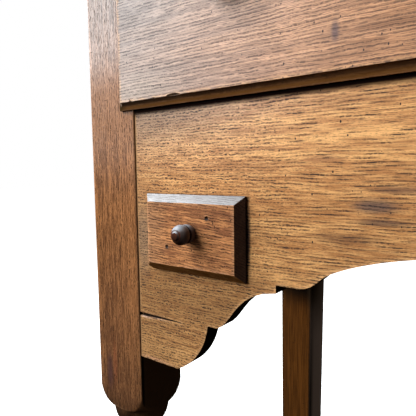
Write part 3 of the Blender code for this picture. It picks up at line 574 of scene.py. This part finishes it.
def oak(name, axis, light, dark, pore, rubbed, grain, stains=(), shadows=(), wax=1.0, depth=0.8, low=0.2,
        roughness=0.6, bump=0.35, dust_and_highlight=0.0, dust_and_highlight_colour=DUST, slope=0.0, edge=0.0025, shine=WAX_ROUGHNESS,
        inward=SHADED_SIDE, under=SHADED_SIDE, short=None, painted_corner_shade=0.75, fill=0.3):
    """A waxed oak with its grain along an axis, soft stains under the grain and dark shadows over it."""
    material = bpy.data.materials.new(name)
    material.use_nodes = True
    tree = material.node_tree
    shader = tree.nodes["Principled BSDF"]
    texture = put(tree, "TexCoord")
    place = texture["Object"]
    parts = put(tree, "SeparateXYZ", {0: place})
    along = along_grain(tree, parts, axis, slope)
    if short:
        grain = shorter_outside(tree, parts, grain, *short)
    cut = use_group(tree, grain_group, {"Vector": along, **grain})
    wear = use_group(tree, wear_group, {"Vector": place, "Normal": texture["Normal"], "Edge Width": edge})
    broad = clouds(tree, vector(tree, "MULTIPLY", along, BROAD_PER_M), detail=2)

    bands = times(tree, cut["Bands"], BAND_TONE)
    tone = linear(tree, cut["Fibres"], FIBRE_TONE, bands)
    tone = calc(tree, "ADD", tone, times(tree, swing(tree, broad), BROAD_TONE))
    colour = tint(tree, ramp(tree, tone, *TONE_STEP), dark, light)
    dust_and_highlight_mask = times(tree, wear["Facing Up"], dust_and_highlight)
    waxed = calc(tree, "MAXIMUM", wear["Polish"], dust_and_highlight_mask)
    colour, waxed = lay_spots(tree, place, broad, colour, waxed, stains)
    # Dust on faces that look up; on the knobs, a painted highlight.
    colour = tint(tree, dust_and_highlight_mask, colour, dust_and_highlight_colour)
    colour = tint(tree, times(tree, wear["Rubbed"], RUBBED_SHOWS), colour, rubbed)
    stained = calc(tree, "MAXIMUM", times(tree, cut["Pores"], depth), cut["Marks"])
    covered = linear(tree, wear["Facing Up"], -DUST_COVERS * dust_and_highlight, 1.0)
    stained = times(tree, stained, covered)
    colour = tint(tree, stained, colour, pore)
    # Painted shade: in corners, on the lower parts, on faces that look down and on faces that look
    # inwards.
    colour = tint(tree, times(tree, wear["Painted Corner Shade"], painted_corner_shade), colour, pore)
    colour = tint(tree, times(tree, wear["Low"], low), colour, SHADE, "MULTIPLY")
    colour = tint(tree, times(tree, wear["Under"], UNDER_SHOWS), colour, under)
    colour = tint(tree, wear["Inward"], colour, inward)
    # Painted shadows, laid over all and taking the wax away; a few are plain brown patches.
    shadows = [(*shadow, 1.0) for shadow in shadows]
    colour, waxed = lay_spots(tree, place, broad, colour, waxed, shadows)

    dull = linear(tree, swing(tree, broad), ROUGH_SWING, roughness)
    relief = put(tree, "Bump", {"Strength": bump, "Distance": PORE_DEPTH, "Height": cut["Height"]})[0]
    streaked = linear(tree, cut["Fibres"], *WAX_STREAKED)
    kept = times(tree, linear(tree, stained, fill - 1, 1.0), streaked)
    kept = times(tree, kept, linear(tree, wear["Rubbed"], RUBBED_WAX, 1.0))
    kept = times(tree, kept, waxed)
    feed(tree, shader.inputs, {
        "Base Color": colour, "Roughness": dull, "Normal": relief, "Specular IOR Level": BARE_GLOSS,
        "Coat Weight": times(tree, kept, wax), "Coat Roughness": shine,
    })
    return material


finishes = {}
print("the oak function builds on", len(bpy.data.node_groups), "groups")

# %% [markdown]
# ## The apron's finish
# The apron is the most golden board. Its pores are long lines in the middle and short dashes at the ends.
# It darkens round the spice drawer, greys under the long drawer, has dark bands over the arch, and is
# pale where it is worn. Painted shadows lie beside the spice drawer and under the long drawer's lip, and a
# painted highlight on the worn lower lip of the split. One even colour would look new, so each of these is
# a spot at its place, DEEP through the board or WIDE across the whole dresser.

# %% Apron finish
DEEP = 0.1
WIDE = 4.0

finishes["apron"] = oak(
    "apron_oak", "X",
    light=(0.87, 0.455, 0.166), dark=(0.48, 0.211, 0.073),
    pore=(0.034, 0.026, 0.025), rubbed=(0.9, 0.5, 0.22),
    grain={"Line Length": 0.02, "Line Spacing": 0.0025, "Dash Length": 0.013, "Dot Length": 0.0021,
           "Dashes": 0.9, "Curl": 0.27, "Drift": 2.0, "Specks": 0.6, "Scratches": 0.3},
    stains=[
        # Darker round the spice drawer, grey under the long one, brown by the post and over the arch.
        ((-0.31, -0.2, 0.40), (0.08, DEEP, 0.13), 0.55, (0.19, 0.085, 0.033), 0.3),
        ((-0.22, -0.2, 0.385), (0.11, DEEP, 0.05), 0.55, (0.18, 0.08, 0.03), 0.3),
        ((-0.34, -0.2, 0.556), (0.17, DEEP, 0.05), 0.85, (0.25, 0.145, 0.075), 0.6),
        ((-0.34, -0.2, 0.5), (0.06, DEEP, 0.1), 0.3, (0.36, 0.19, 0.075), 0.2),
        ((-0.02, -0.2, 0.46), (0.25, DEEP, 0.08), 0.22, (0.3, 0.13, 0.05), 0.0),
        ((-0.312, -0.22, 0.438), (0.015, DEEP, 0.05), 0.6, (0.25, 0.175, 0.115), 0.0),
        # Dark bands over the arch.
        ((-0.1, -0.22, 0.4765), (0.018, DEEP, 0.006), 0.75, (0.11, 0.075, 0.065), 0.0),
        ((-0.095, -0.22, 0.466), (0.02, DEEP, 0.003), 0.75, (0.11, 0.062, 0.045), 0.0),
        ((-0.12, -0.22, 0.4535), (0.028, DEEP, 0.005), 0.6, (0.16, 0.07, 0.035), 0.0),
        ((-0.085, -0.22, 0.487), (0.022, DEEP, 0.003), 0.6, (0.14, 0.075, 0.05), 0.0),
        ((-0.134, -0.22, 0.508), (0.02, DEEP, 0.003), 0.5, (0.3, 0.13, 0.06), 0.0),
        # Pale lip of the split, worn and with a painted highlight, and the worn lower edge of the drop.
        ((-0.312, -0.22, 0.3609), (0.016, DEEP, 0.0014), 0.6, (0.9, 0.62, 0.46), 0.0),
        ((-0.293, -0.22, 0.3621), (0.015, DEEP, 0.0011), 0.4, (0.9, 0.6, 0.42), 0.0),
        ((-0.3, -0.22, 0.321), (0.03, DEEP, 0.0036), 0.75, (0.85, 0.42, 0.22), 0.0),
    ],
    shadows=[
        # Painted shadows beside the spice drawer and under the long drawer; plain brown over the rubbed
        # arrises along the post and over the split.
        ((-0.1955, -0.22, 0.446), (0.0028, DEEP, 0.04), 0.9, (0.01, 0.009, 0.011)),
        ((-0.3185, -0.2239, 0.46), (0.0017, 0.01, 0.4), 0.9, (0.24, 0.125, 0.055)),
        ((-0.302, -0.2239, 0.3655), (0.03, 0.01, 0.0012), 0.75, (0.24, 0.115, 0.05)),
        ((0.0, -0.22, 0.557), (WIDE, DEEP, 0.0058), 1.0, (0.008, 0.004, 0.003)),
    ],
    depth=0.95, low=0.5, short=(0.1, 0.26), painted_corner_shade=0.95, fill=0.12)
print("apron finish has", len(finishes["apron"].node_tree.nodes), "nodes")

# %% [markdown]
# ## The drawer fronts' finish
# The long front is browner, with the grey sheen of old wax at its upper left, and painted shade in the
# hollow of its lip and on faces that look down. The spice fronts are redder. Their upper bevel is pale
# with dust, and the bevels that look inwards and down get painted shade, the inward one nearly black.
# Painting each face would tie the colour to the mesh, so the way that a face looks picks its tint.

# %% Drawer front finishes
# Painted shade inside the old nail holes.
HOLE_SHADE = (0.03, 0.021, 0.018)

finishes["long_front"] = oak(
    "long_drawer_oak", "X",
    light=(0.65, 0.315, 0.145), dark=(0.33, 0.15, 0.068),
    pore=(0.05, 0.04, 0.04), rubbed=(0.85, 0.47, 0.23),
    grain={"Line Spacing": 0.0026, "Line Length": 0.03, "Dash Length": 0.009, "Dashes": 0.9, "Soft": 0.13,
           "Wave": 0.003, "Curl": 0.25, "Drift": 1.4, "Specks": 0.45, "Scratches": 0.25},
    stains=[
        # Greyed upper left, two paler patches, and a dark dent.
        ((-0.36, -0.22, 0.7), (0.24, DEEP, 0.24), 0.78, (0.1, 0.09, 0.078), 0.0),
        ((-0.31, -0.22, 0.572), (0.06, DEEP, 0.022), 0.2, (0.55, 0.42, 0.28), 0.0),
        ((-0.151, -0.22, 0.592), (0.032, DEEP, 0.035), 0.4, (0.72, 0.37, 0.19), 0.0),
        ((-0.1246, -0.23, 0.589), (0.0035, DEEP, 0.009), 0.75, (0.1, 0.062, 0.07), 0.3),
    ],
    shadows=[
        # Painted shade along the hollow of the lip, and at its left end.
        ((0.0, -0.2285, 0.5596), (WIDE, 0.0045, 0.0031), 0.9, (0.13, 0.05, 0.009)),
        ((-0.3375, -0.226, 0.5605), (0.013, 0.02, 0.0048), 0.9, (0.03, 0.018, 0.007)),
    ],
    # under: painted shade on the faces that look down.
    depth=0.78, dust_and_highlight=0.5, edge=0.0032, under=(0.036, 0.017, 0.006), shine=0.37, fill=0.1)
finishes["spice_front"] = oak(
    "spice_drawer_oak", "X",
    light=(0.65, 0.28, 0.105), dark=(0.26, 0.1, 0.042),
    pore=(0.042, 0.023, 0.017), rubbed=(0.85, 0.46, 0.24),
    grain={"Line Length": 0.014, "Line Spacing": 0.0023, "Dash Length": 0.009, "Dashes": 0.9, "Curl": 0.22,
           "Soft": 0.14},
    stains=[((-0.296, -0.23, 0.45), (0.026, DEEP, 0.06), 0.35, (0.42, 0.245, 0.13), 0.0)],
    shadows=[
        # Painted shade inside the two holes of an older pull.
        ((-0.2302, -0.23, 0.4615), (0.0026, 0.02, 0.0024), 0.9, HOLE_SHADE),
        ((-0.2745, -0.23, 0.434), (0.0026, 0.02, 0.0024), 0.9, HOLE_SHADE),
    ],
    # inward and under: painted shade on the bevels that look inwards and down.
    dust_and_highlight=1.0, slope=-0.07, edge=0.005, inward=(0.035, 0.019, 0.014), under=(0.115, 0.046, 0.008),
    depth=0.95, fill=0.15)
print("drawer fronts:", finishes["long_front"].name, "and", finishes["spice_front"].name)

# %% [markdown]
# ## The legs' finish
# The front posts are dark brown, greyed by wax at the top and dull from the drawer's lower edge down,
# with painted shade, nearly black, where the turning starts, in the open shoulder and on the inner faces.
# The back legs are darker and have hardly any wax, with painted shade under the case and on their inner
# side. Each leg could have its own finish, but the spots that both share reach across the dresser.

# %% Leg finishes
# Painted black shadow for the back legs.
BLACK_SHADOW = (0.004, 0.003, 0.002)
FOOT_BROWN = (0.045, 0.019, 0.009)

finishes["post"] = oak(
    "leg_oak", "Z",
    light=(0.385, 0.16, 0.056), dark=(0.16, 0.062, 0.022),
    pore=(0.035, 0.018, 0.011), rubbed=(0.42, 0.21, 0.1),
    grain={"Line Length": 0.02, "Dash Length": 0.0035, "Line Spacing": 0.0021, "Dashes": 0.9, "Soft": 0.15,
           "Curl": 0.3, "Drift": 1.8},
    stains=[
        # Greyed top, dull band beside the lip, dark foot, a bruise and its red edge, and painted
        # shade on the bell under the pummel.
        ((-0.35, -0.2, 0.74), (0.1, DEEP, 0.2), 0.75, (0.085, 0.077, 0.066), 0.0),
        ((0.0, -0.2, 0.562), (WIDE, 1.0, 0.055), 0.7, (0.3, 0.128, 0.048), 0.95),
        ((0.0, -0.2, 0.12), (WIDE, 1.0, 0.195), 0.8, FOOT_BROWN, 0.5),
        ((-0.3665, -0.22, 0.292), (0.0065, DEEP, 0.026), 0.75, (0.085, 0.036, 0.036), 0.5),
        ((-0.3585, -0.22, 0.302), (0.004, DEEP, 0.03), 0.65, (0.34, 0.11, 0.045), 0.5),
        ((0.0, -0.2, 0.23), (WIDE, 1.0, 0.04), 0.9, (0.02, 0.011, 0.007), 0.9),
    ],
    shadows=[
        # Painted shade in the open shoulder beside the apron, and plain brown over the turned part.
        ((-0.3198, -0.222, 0.44), (0.0021, 0.003, 0.4), 1.0, (0.003, 0.003, 0.004)),
        ((0.0, -0.2, 0.08), (WIDE, 1.0, 0.16), 0.55, FOOT_BROWN),
    ],
    # inward: painted shade on the faces that look inwards.
    wax=0.92, depth=0.85, low=0.4, inward=(0.22, 0.11, 0.05), fill=0.05)
finishes["rear_leg"] = oak(
    "rear_leg_oak", "Z",
    light=(0.115, 0.04, 0.008), dark=(0.055, 0.019, 0.004),
    # The near-black rubbed colour paints shade along the arrises.
    pore=(0.02, 0.009, 0.004), rubbed=(0.01, 0.006, 0.004),
    grain={"Line Length": 0.06, "Dashes": 0.4, "Specks": 0.2},
    shadows=[
        # Painted shade under the case, on the inner arris, and up the inner face.
        ((0.0, 0.1966, 0.303), (WIDE, 0.05, 0.055), 0.97, BLACK_SHADOW),
        ((-0.3262, 0.1966, 0.0), (0.006, 0.02, 0.3), 0.97, BLACK_SHADOW),
        ((-0.3245, 0.24, 0.3), (0.01, 0.08, 0.11), 0.8, (0.03, 0.018, 0.01)),
    ],
    # inward: painted shade on the inner faces.
    wax=0.2, edge=0.006, inward=(0.14, 0.1, 0.078))
print("legs:", finishes["post"].name, "and", finishes["rear_leg"].name)

# %% [markdown]
# ## The case, the linings and the knobs
# Top, sides and back are plain brown waxed oak. Drawer boxes and runners were never waxed, so they stay
# pale and dry. The knobs are of a dark fruitwood with hardly any pores: a pale grey on their upper side is
# a painted highlight, painted shade fills the groove and the quirk at the tip, and the side that looks
# inwards is painted lighter. A second function could make it, but fruitwood differs from oak only in
# values here.

# %% Case, lining and knob finishes
# A painted highlight for the knobs' upper side, and painted shade for their grooves.
KNOB_HIGHLIGHT_GREY = (0.2, 0.215, 0.235)
GROOVE_SHADE = (0.014, 0.006, 0.005)
CASE_PORE = (0.06, 0.034, 0.02)
CASE_GRAIN = {"Line Length": 0.16, "Dash Length": 0.025}

finishes["case_x"] = oak(
    "case_oak_across", "X", light=(0.42, 0.19, 0.08), dark=(0.25, 0.105, 0.04),
    pore=CASE_PORE, rubbed=(0.5, 0.26, 0.11), grain=CASE_GRAIN)
finishes["case_y"] = oak(
    "case_oak_deep", "Y", light=(0.4, 0.18, 0.075), dark=(0.24, 0.1, 0.038),
    pore=CASE_PORE, rubbed=(0.48, 0.25, 0.11), grain=CASE_GRAIN)
for axis, word in (("X", "across"), ("Y", "deep")):
    finishes[f"lining_{axis.lower()}"] = oak(
        f"lining_oak_{word}", axis, light=(0.42, 0.28, 0.155), dark=(0.3, 0.19, 0.1),
        pore=(0.13, 0.085, 0.055), rubbed=(0.5, 0.36, 0.23), grain={"Dashes": 0.5, "Specks": 0.2},
        wax=0.0, depth=0.6, low=0.0, roughness=0.8)
finishes["knob"] = oak(
    "knob_fruitwood", "Y", light=(0.11, 0.036, 0.02), dark=(0.05, 0.016, 0.01),
    pore=(0.015, 0.007, 0.005), rubbed=(0.15, 0.06, 0.03),
    grain={"Line Spacing": 0.0015, "Dashes": 0.3, "Specks": 0.1},
    # A pale grey painted highlight on the top of the spice knobs.
    stains=[((0.0, -0.241, 0.4567), (WIDE, 0.012, 0.0085), 0.85, KNOB_HIGHLIGHT_GREY, 0.0)],
    shadows=[
        # Painted shade in the grooves of the spice and the long knobs, and at the spice knobs' tip.
        ((0.0, -0.2391, 0.448), (WIDE, 0.0013, 0.1), 0.9, GROOVE_SHADE),
        ((0.0, -0.2437, 0.65), (WIDE, 0.0022, 0.15), 0.9, GROOVE_SHADE),
        ((0.0, -0.2517, 0.4455), (WIDE, 0.003, 0.0055), 0.85, (0.02, 0.008, 0.005)),
    ],
    # These values paint a highlight on the top, and paint the side that looks inwards lighter.
    depth=0.5, low=0.0, roughness=0.45, bump=0.1, dust_and_highlight=0.8, shine=0.42, painted_corner_shade=0.1,
    inward=(0.115, 0.09, 0.084), dust_and_highlight_colour=KNOB_HIGHLIGHT_GREY)
print("finishes:", sorted(finishes))

# %% [markdown]
# ## Turned work
# A turner's curve is smooth, with a sharp quirk wherever the tool was lifted. The solids have it with few
# facets, and a subdivision would round the quirks away. Here the radii are measured on the solid, level
# by level, and a skin over rings of points follows a curve through them that stays sharp where it turns
# sharply.

# %% Curve through measured radii
QUIRK = math.radians(38)
CURVE_CUTS = 4
LEVEL_DIGITS = 5
LEVEL_SLACK = 0.01 * MM


def fair(points):
    """A finer line through points, smooth except where it turns sharply."""
    points = [Vector(p) for p in points]
    last = len(points) - 1

    def slope(i, towards):
        chord = points[towards] - points[i]
        if i in (0, last):
            return chord
        before, after = points[i] - points[i - 1], points[i + 1] - points[i]
        if before.angle(after) > QUIRK:
            return chord
        tangent = (before.normalized() + after.normalized()).normalized()
        return tangent * chord.length * (1 if towards > i else -1)

    line = [points[0]]
    for i in range(last):
        leave, arrive = slope(i, i + 1), -slope(i + 1, i)
        for k in range(1, CURVE_CUTS + 1):
            t = k / CURVE_CUTS
            line.append(points[i] * (2 * t ** 3 - 3 * t ** 2 + 1) + leave * (t ** 3 - 2 * t ** 2 + t)
                        + points[i + 1] * (3 * t ** 2 - 2 * t ** 3) + arrive * (t ** 3 - t ** 2))
    return line


def measured_rings(node, axis, low, high):
    """Radii of a turned solid at its own levels along an axis: (radius, level) pairs."""
    first, second = [k for k in range(3) if k != axis]
    box_low, box_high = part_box(node)
    centre = (box_low + box_high) / 2
    rings = {}
    for vertex in nodes[node].data.vertices:
        level = round(vertex.co[axis], LEVEL_DIGITS)
        if low - LEVEL_SLACK <= level <= high + LEVEL_SLACK:
            radius = math.hypot(vertex.co[first] - centre[first], vertex.co[second] - centre[second])
            rings[level] = max(radius, rings.get(level, 0))
    return [(rings[level], level) for level in sorted(rings)]


# %% Skin over rings
def ring_mesh(name, loops):
    """A closed skin over loops of points, capped at both ends."""
    mesh = bpy.data.meshes.new(name)
    count = len(loops[0])
    faces = [tuple(range(count))[::-1]]
    for i in range(len(loops) - 1):
        a, b = i * count, (i + 1) * count
        faces += [(a + k, a + (k + 1) % count, b + (k + 1) % count, b + k) for k in range(count)]
    faces.append(tuple(range((len(loops) - 1) * count, len(loops) * count)))
    mesh.from_pydata([p for loop in loops for p in loop], [], faces)
    shape = bmesh.new()
    shape.from_mesh(mesh)
    bmesh.ops.recalc_face_normals(shape, faces=shape.faces)
    shape.to_mesh(mesh)
    shape.free()
    mesh.shade_smooth()
    mesh.set_sharp_from_angle(angle=QUIRK)
    return new_object(name, mesh)


# %% [markdown]
# ## The front legs
# A leg is cut from a square billet: the top stays square, and where the turning starts each corner rounds
# over in a curve that shows on all four faces. A Boolean of a square and a turned form would give it with
# ragged facets. Here the ring at each level is the smaller of the turned radius and the square's edge.

# %% Front legs
LEG_SIDES = 96
QUARTER = LEG_SIDES // 4
SQUARE_POWER = 40
PUMMEL_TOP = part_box("apron")[0].z - 37.5 * MM
PUMMEL_FOOT = PUMMEL_TOP - 28 * MM
PUMMEL_STEPS = 22


def leg_loop(centre, half, radius, level):
    """One ring of a leg: a circle where it lies inside the square post, and else the post's outline."""
    for k in range(LEG_SIDES):
        step = 2 * (k % QUARTER) / QUARTER - 1
        angle = math.pi / 2 * (k // QUARTER) + math.pi / 4 * math.sin(step * math.pi / 2)
        edge = abs(math.cos(angle)) ** SQUARE_POWER + abs(math.sin(angle)) ** SQUARE_POWER
        flat = Vector((half.x * math.cos(angle), half.y * math.sin(angle), 0))
        flat *= edge ** (-1 / SQUARE_POWER)
        reach = flat.normalized() * min(radius, flat.length)
        yield centre.x + reach.x, centre.y + reach.y, level


def turned_leg(word):
    """A square post that rounds over into a turned lower leg."""
    node = f"front_leg_{word}"
    low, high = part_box(node)
    centre = (low + high) / 2
    half = (high - low) / 2
    rings = fair(measured_rings(node, 2, 0.0, PUMMEL_FOOT + 0.1 * MM))
    bell = rings[-1].x
    corner = math.hypot(half.x, half.y)
    for i in range(1, PUMMEL_STEPS + 1):
        turn = math.pi / 2 * i / PUMMEL_STEPS
        rings.append(Vector((bell + (corner - bell) * math.sin(turn),
                             PUMMEL_FOOT + (PUMMEL_TOP - PUMMEL_FOOT) * (1 - math.cos(turn)))))
    rings += [Vector((2 * corner, PUMMEL_TOP + 1 * MM)), Vector((2 * corner, high.z))]
    loops = [list(leg_loop(centre, half, radius, level)) for radius, level in rings]
    leg = ring_mesh(f"turned_leg_{word}", loops)
    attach(leg, "carcass")
    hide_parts(node)
    leg.data.materials.append(finishes["post"])
    return leg


legs = [turned_leg(word) for word in ("left", "right")]
print("legs:", [len(leg.data.polygons) for leg in legs], "faces")

# %% [markdown]
# ## The knobs
# Each knob is turned in one piece: a collar on the drawer's face, a groove, a ball, a small tip, and
# behind them the spigot in its hole. In the photograph the groove lies nearer the tip than on the solid,
# and the tip is a little wider. A new profile could be drawn by hand. Moving the measured levels, in
# radii of the ball, keeps the rest, and serves small knobs and large.

# %% Knobs
KNOB_SIDES = 48
KNOB_REACH = 2.2
GROOVE_AT = 0.52
GROOVE_SHIFT = 0.28
TIP_STARTS = 1.9
TIP_WIDER = 0.05


def knob_rings(node):
    """Measured rings of a knob, with its groove nearer the tip and its tip a little wider."""
    low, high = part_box(node)
    ball = (high.x - low.x) / 2
    face = low.y + KNOB_REACH * ball
    for radius, level in measured_rings(node, 1, low.y, high.y):
        out = (face - level) / ball
        if out > TIP_STARTS:
            radius += TIP_WIDER * ball
        if out > GROOVE_AT:
            out += GROOVE_SHIFT * (KNOB_REACH - out) / (KNOB_REACH - GROOVE_AT)
        elif out > 0:
            out *= 1 + GROOVE_SHIFT / GROOVE_AT
        yield radius, face - out * ball


def turned_knob(node, body):
    """A knob with its collar, ball and tip, and the spigot that holds it in the drawer front."""
    low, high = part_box(node)
    centre = (low + high) / 2
    turns = [2 * math.pi * k / KNOB_SIDES for k in range(KNOB_SIDES)]
    loops = [[(centre.x + radius * math.cos(t), level, centre.z + radius * math.sin(t)) for t in turns]
             for radius, level in fair(knob_rings(node))]
    knob = ring_mesh(f"turned_{node}", loops)
    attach(knob, body)
    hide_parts(node)
    knob.data.materials.append(finishes["knob"])
    return knob


bodies = frame["record"]["behaviour"]["bodies"]
knobs = [turned_knob(node, body) for body, members in bodies.items() for node in members if "knob" in node]
print("knobs:", [knob.name for knob in knobs])

# %% [markdown]
# ## The apron's split and open shoulders
# The apron has shrunk: it has split along the grain from its left shoulder, and its shoulders stand off
# the posts. A dark line in the finish would do from afar, but these hollows catch light on one lip, so
# they are cut by Boolean modifiers, which leave the solid's own points alone. Each cutter is a skin over
# sections, stays out of the render and moves with its board.

# %% Apron cutters
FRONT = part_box("apron")[0].y
PROUD = 1 * MM
SPLIT_DEPTH = 9 * MM
GAP_DEPTH = 4.5 * MM


def cutter(name, sections, body):
    """A hidden skin over sections, for a Boolean modifier."""
    obj = ring_mesh(name, list(sections))
    obj.hide_render = True
    obj.hide_viewport = True
    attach(obj, body)
    return obj


def split_sections(stations):
    """Sections of a split from (x, z, width, lip): a deep slot with a worn lower lip."""
    for x, z, width, lip in stations:
        foot = z - width / 2
        profile = [(-PROUD, z + width / 2), (-PROUD, foot - lip - PROUD), (lip, foot),
                   (SPLIT_DEPTH, z - width / 3), (SPLIT_DEPTH, z + width / 3)]
        yield [(x, FRONT + into, level) for into, level in profile]


def gap_sections(x, stations):
    """Sections of an open shoulder from (z, width), beside an upright line."""
    for z, width in stations:
        profile = [(-PROUD, width / 2), (-PROUD, -width / 2),
                   (GAP_DEPTH, -width / 3), (GAP_DEPTH, width / 3)]
        yield [(x + aside, FRONT + into, z) for into, aside in profile]


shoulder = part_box("front_leg_left")[1].x
split = cutter("apron_split_cut", split_sections([
    (shoulder - 3 * MM, 0.3631, 3.8 * MM, 0.7 * MM),
    (shoulder + 8 * MM, 0.3632, 3.4 * MM, 0.6 * MM),
    (shoulder + 22 * MM, 0.3637, 2.7 * MM, 0.45 * MM),
    (shoulder + 38 * MM, 0.3640, 1.9 * MM, 0.25 * MM),
    (shoulder + 54 * MM, 0.3643, 0.6 * MM, 0.05 * MM)]), "carcass")
apron_foot, apron_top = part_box("apron")[0].z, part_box("apron")[1].z
stations = [(apron_foot - PROUD, 1.3 * MM), (0.361, 1.4 * MM),
            (0.365, 1.9 * MM), (apron_top + PROUD, 1.7 * MM)]
cuts = {"apron": [split]}
for word, sign in (("left", 1), ("right", -1)):
    line = -sign * abs(shoulder) + sign * 0.5 * MM
    cuts["apron"].append(cutter(f"apron_gap_{word}_cut", gap_sections(line, stations), "carcass"))
print("apron cutters:", [obj.name for obj in cuts["apron"]])

# %% [markdown]
# ## Old holes, a worn corner and chips
# The spice drawer's face keeps two holes of an older pull, its lower left corner is worn off, and the
# long drawer's lip has lost a few chips along its lower arris. Moved points would do for one board, but
# would be lost when its solid changes. Cutters with a little noise in their outline stay apart from it.

# %% Drawer cutters
HOLE_SIDES = 9
HOLE_PROFILE = ((-PROUD, 1.25), (0.2 * MM, 1.0), (0.75 * MM, 0.62), (1.5 * MM, 0.2))
HOLE_RADIUS = 1.7 * MM
HOLE_WIDER = 1.15
HOLE_RAGGED = 0.3
HOLE_NOISE = 900
CORNER_CUTS = (0.0, 0.35, 0.7, 1.0)
CORNER_RAGGED = 0.2
CORNER_NOISE = 300
CORNER_ELBOW = (0.45, 0.42)
CHIP_CUTS = 8
CHIP_SIDES = 8
CHIP_RAGGED = 0.45
CHIP_NOISE = 700
CHIP_LEAST = 0.1 * MM
COVE_ARRIS = 6.4 * MM


def hole_sections(x, z, face):
    """Sections of a worn nail hole in a face that looks to the front."""
    for into, share in HOLE_PROFILE:
        ring = []
        for k in range(HOLE_SIDES):
            turn = 2 * math.pi * k / HOLE_SIDES
            bite = noise.noise((x * HOLE_NOISE + math.cos(turn), z * HOLE_NOISE + math.sin(turn), 0.0))
            reach = HOLE_RADIUS * share * (1 + HOLE_RAGGED * bite)
            ring.append((x + HOLE_WIDER * reach * math.cos(turn), face + into, z + reach * math.sin(turn)))
        yield ring


def corner_sections(x, z, wide, high, front, back):
    """Sections of a worn-off lower left corner, from front to back."""
    for share in CORNER_CUTS:
        worn = 1 + CORNER_RAGGED * noise.noise((share * 3, x * CORNER_NOISE, z * CORNER_NOISE))
        y = front + (back - front) * share
        elbow = (x + CORNER_ELBOW[0] * wide, y, z + CORNER_ELBOW[1] * high * worn)
        yield [(x - PROUD, y, z - PROUD), (x - PROUD, y, z + high * worn),
               elbow, (x + wide * worn, y, z - PROUD)]


def chip_sections(x, z, long, radius, face):
    """Sections of a chip broken out of an arris that runs along X."""
    turns = [2 * math.pi * i / CHIP_SIDES for i in range(CHIP_SIDES)]
    for k in range(CHIP_CUTS + 1):
        along = 2 * k / CHIP_CUTS - 1
        ragged = 1 + CHIP_RAGGED * noise.noise((x * CHIP_NOISE, along * 2.5, 0.0))
        deep = radius * (1 - along ** 2) ** 0.5 * ragged + CHIP_LEAST
        at = x + along * long / 2
        yield [(at, face + deep * math.cos(t), z + deep * math.sin(t)) for t in turns]


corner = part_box("spice_drawer_left_front")[0]
cuts["spice_drawer_left_front"] = [
    cutter(f"old_pull_hole_{i}_cut", hole_sections(x, z, corner.y), "spice_drawer_left")
    for i, (x, z) in enumerate([(-0.2302, 0.4622), (-0.2745, 0.4347)], 1)]
cuts["spice_drawer_left_front"].append(cutter("spice_corner_cut", corner_sections(
    corner.x, corner.z, 7 * MM, 7.5 * MM, corner.y - PROUD, FRONT - 0.1 * MM), "spice_drawer_left"))
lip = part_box("long_drawer_front")[0]
arris = lip.z + COVE_ARRIS
chips = [(-0.2635, 17 * MM, 1.5 * MM), (-0.287, 7 * MM, 0.7 * MM), (-0.315, 6 * MM, 0.8 * MM)]
cuts["long_drawer_front"] = [
    cutter(f"drawer_chip_{i}_cut", chip_sections(x, arris, long, radius, lip.y), "long_drawer")
    for i, (x, long, radius) in enumerate(chips, 1)]
print("cutters:", sum(len(v) for v in cuts.values()))

# %% [markdown]
# ## Carried-over boards
# Most boards are right as they come: their dovetails, grooves and shaped edges are in the solids. Sawn
# edges catch no light, though, so their arrises are eased. Moving the solid's own points would spoil its
# fit. Modifiers do it on top: doubled points are welded, flat faces joined up again, hollows cut, and a
# narrow bevel follows what is left. A board's name says where it goes, so the name picks its finish.

# %% Ease the boards
EASE = 0.5 * MM
WELD_GAP = 0.01 * MM
FLAT_ANGLE = math.radians(0.5)
ARRIS_ANGLE = math.radians(35)


def ease(obj, hollows):
    """Weld, flatten, cut and bevel a board without touching its own mesh."""
    weld = obj.modifiers.new("weld", "WELD")
    weld.merge_threshold = WELD_GAP
    flat = obj.modifiers.new("flat faces", "DECIMATE")
    flat.decimate_type = "DISSOLVE"
    flat.angle_limit = FLAT_ANGLE
    for hollow in hollows:
        cut = obj.modifiers.new("cut", "BOOLEAN")
        cut.operation = "DIFFERENCE"
        cut.solver = "EXACT"
        cut.object = hollow
    soft = obj.modifiers.new("eased arrises", "BEVEL")
    soft.width = EASE
    soft.segments = 2
    soft.limit_method = "ANGLE"
    soft.angle_limit = ARRIS_ANGLE
    if hollows:
        obj.modifiers.new("true normals", "WEIGHTED_NORMAL")


for name, obj in nodes.items():
    if not obj.hide_render:
        ease(obj, cuts.get(name, ()))
print("eased boards:", sum(1 for o in nodes.values() if o.modifiers))

# %% Finish the boards
FINISH_BY_START = {
    "front_leg": "post", "rear_leg": "rear_leg", "apron": "apron", "long_drawer_front": "long_front",
    "top_": "case_x", "back_board": "case_x", "side_panel": "case_y",
}
LAID_DEEP = ("_side_", "runner", "guide", "kicker")


def finish_of(name):
    """The finish that a node takes, by its name."""
    if "knob" in name:
        return "knob"
    if any(word in name for word in LAID_DEEP):
        return "lining_y"
    if name.startswith("spice_drawer") and name.endswith("_front"):
        return "spice_front"
    for start, finish in FINISH_BY_START.items():
        if name.startswith(start):
            return finish
    return "lining_x"


for name, obj in nodes.items():
    obj.material_slots[0].material = finishes[finish_of(name)]
print("finished boards:", len(nodes))
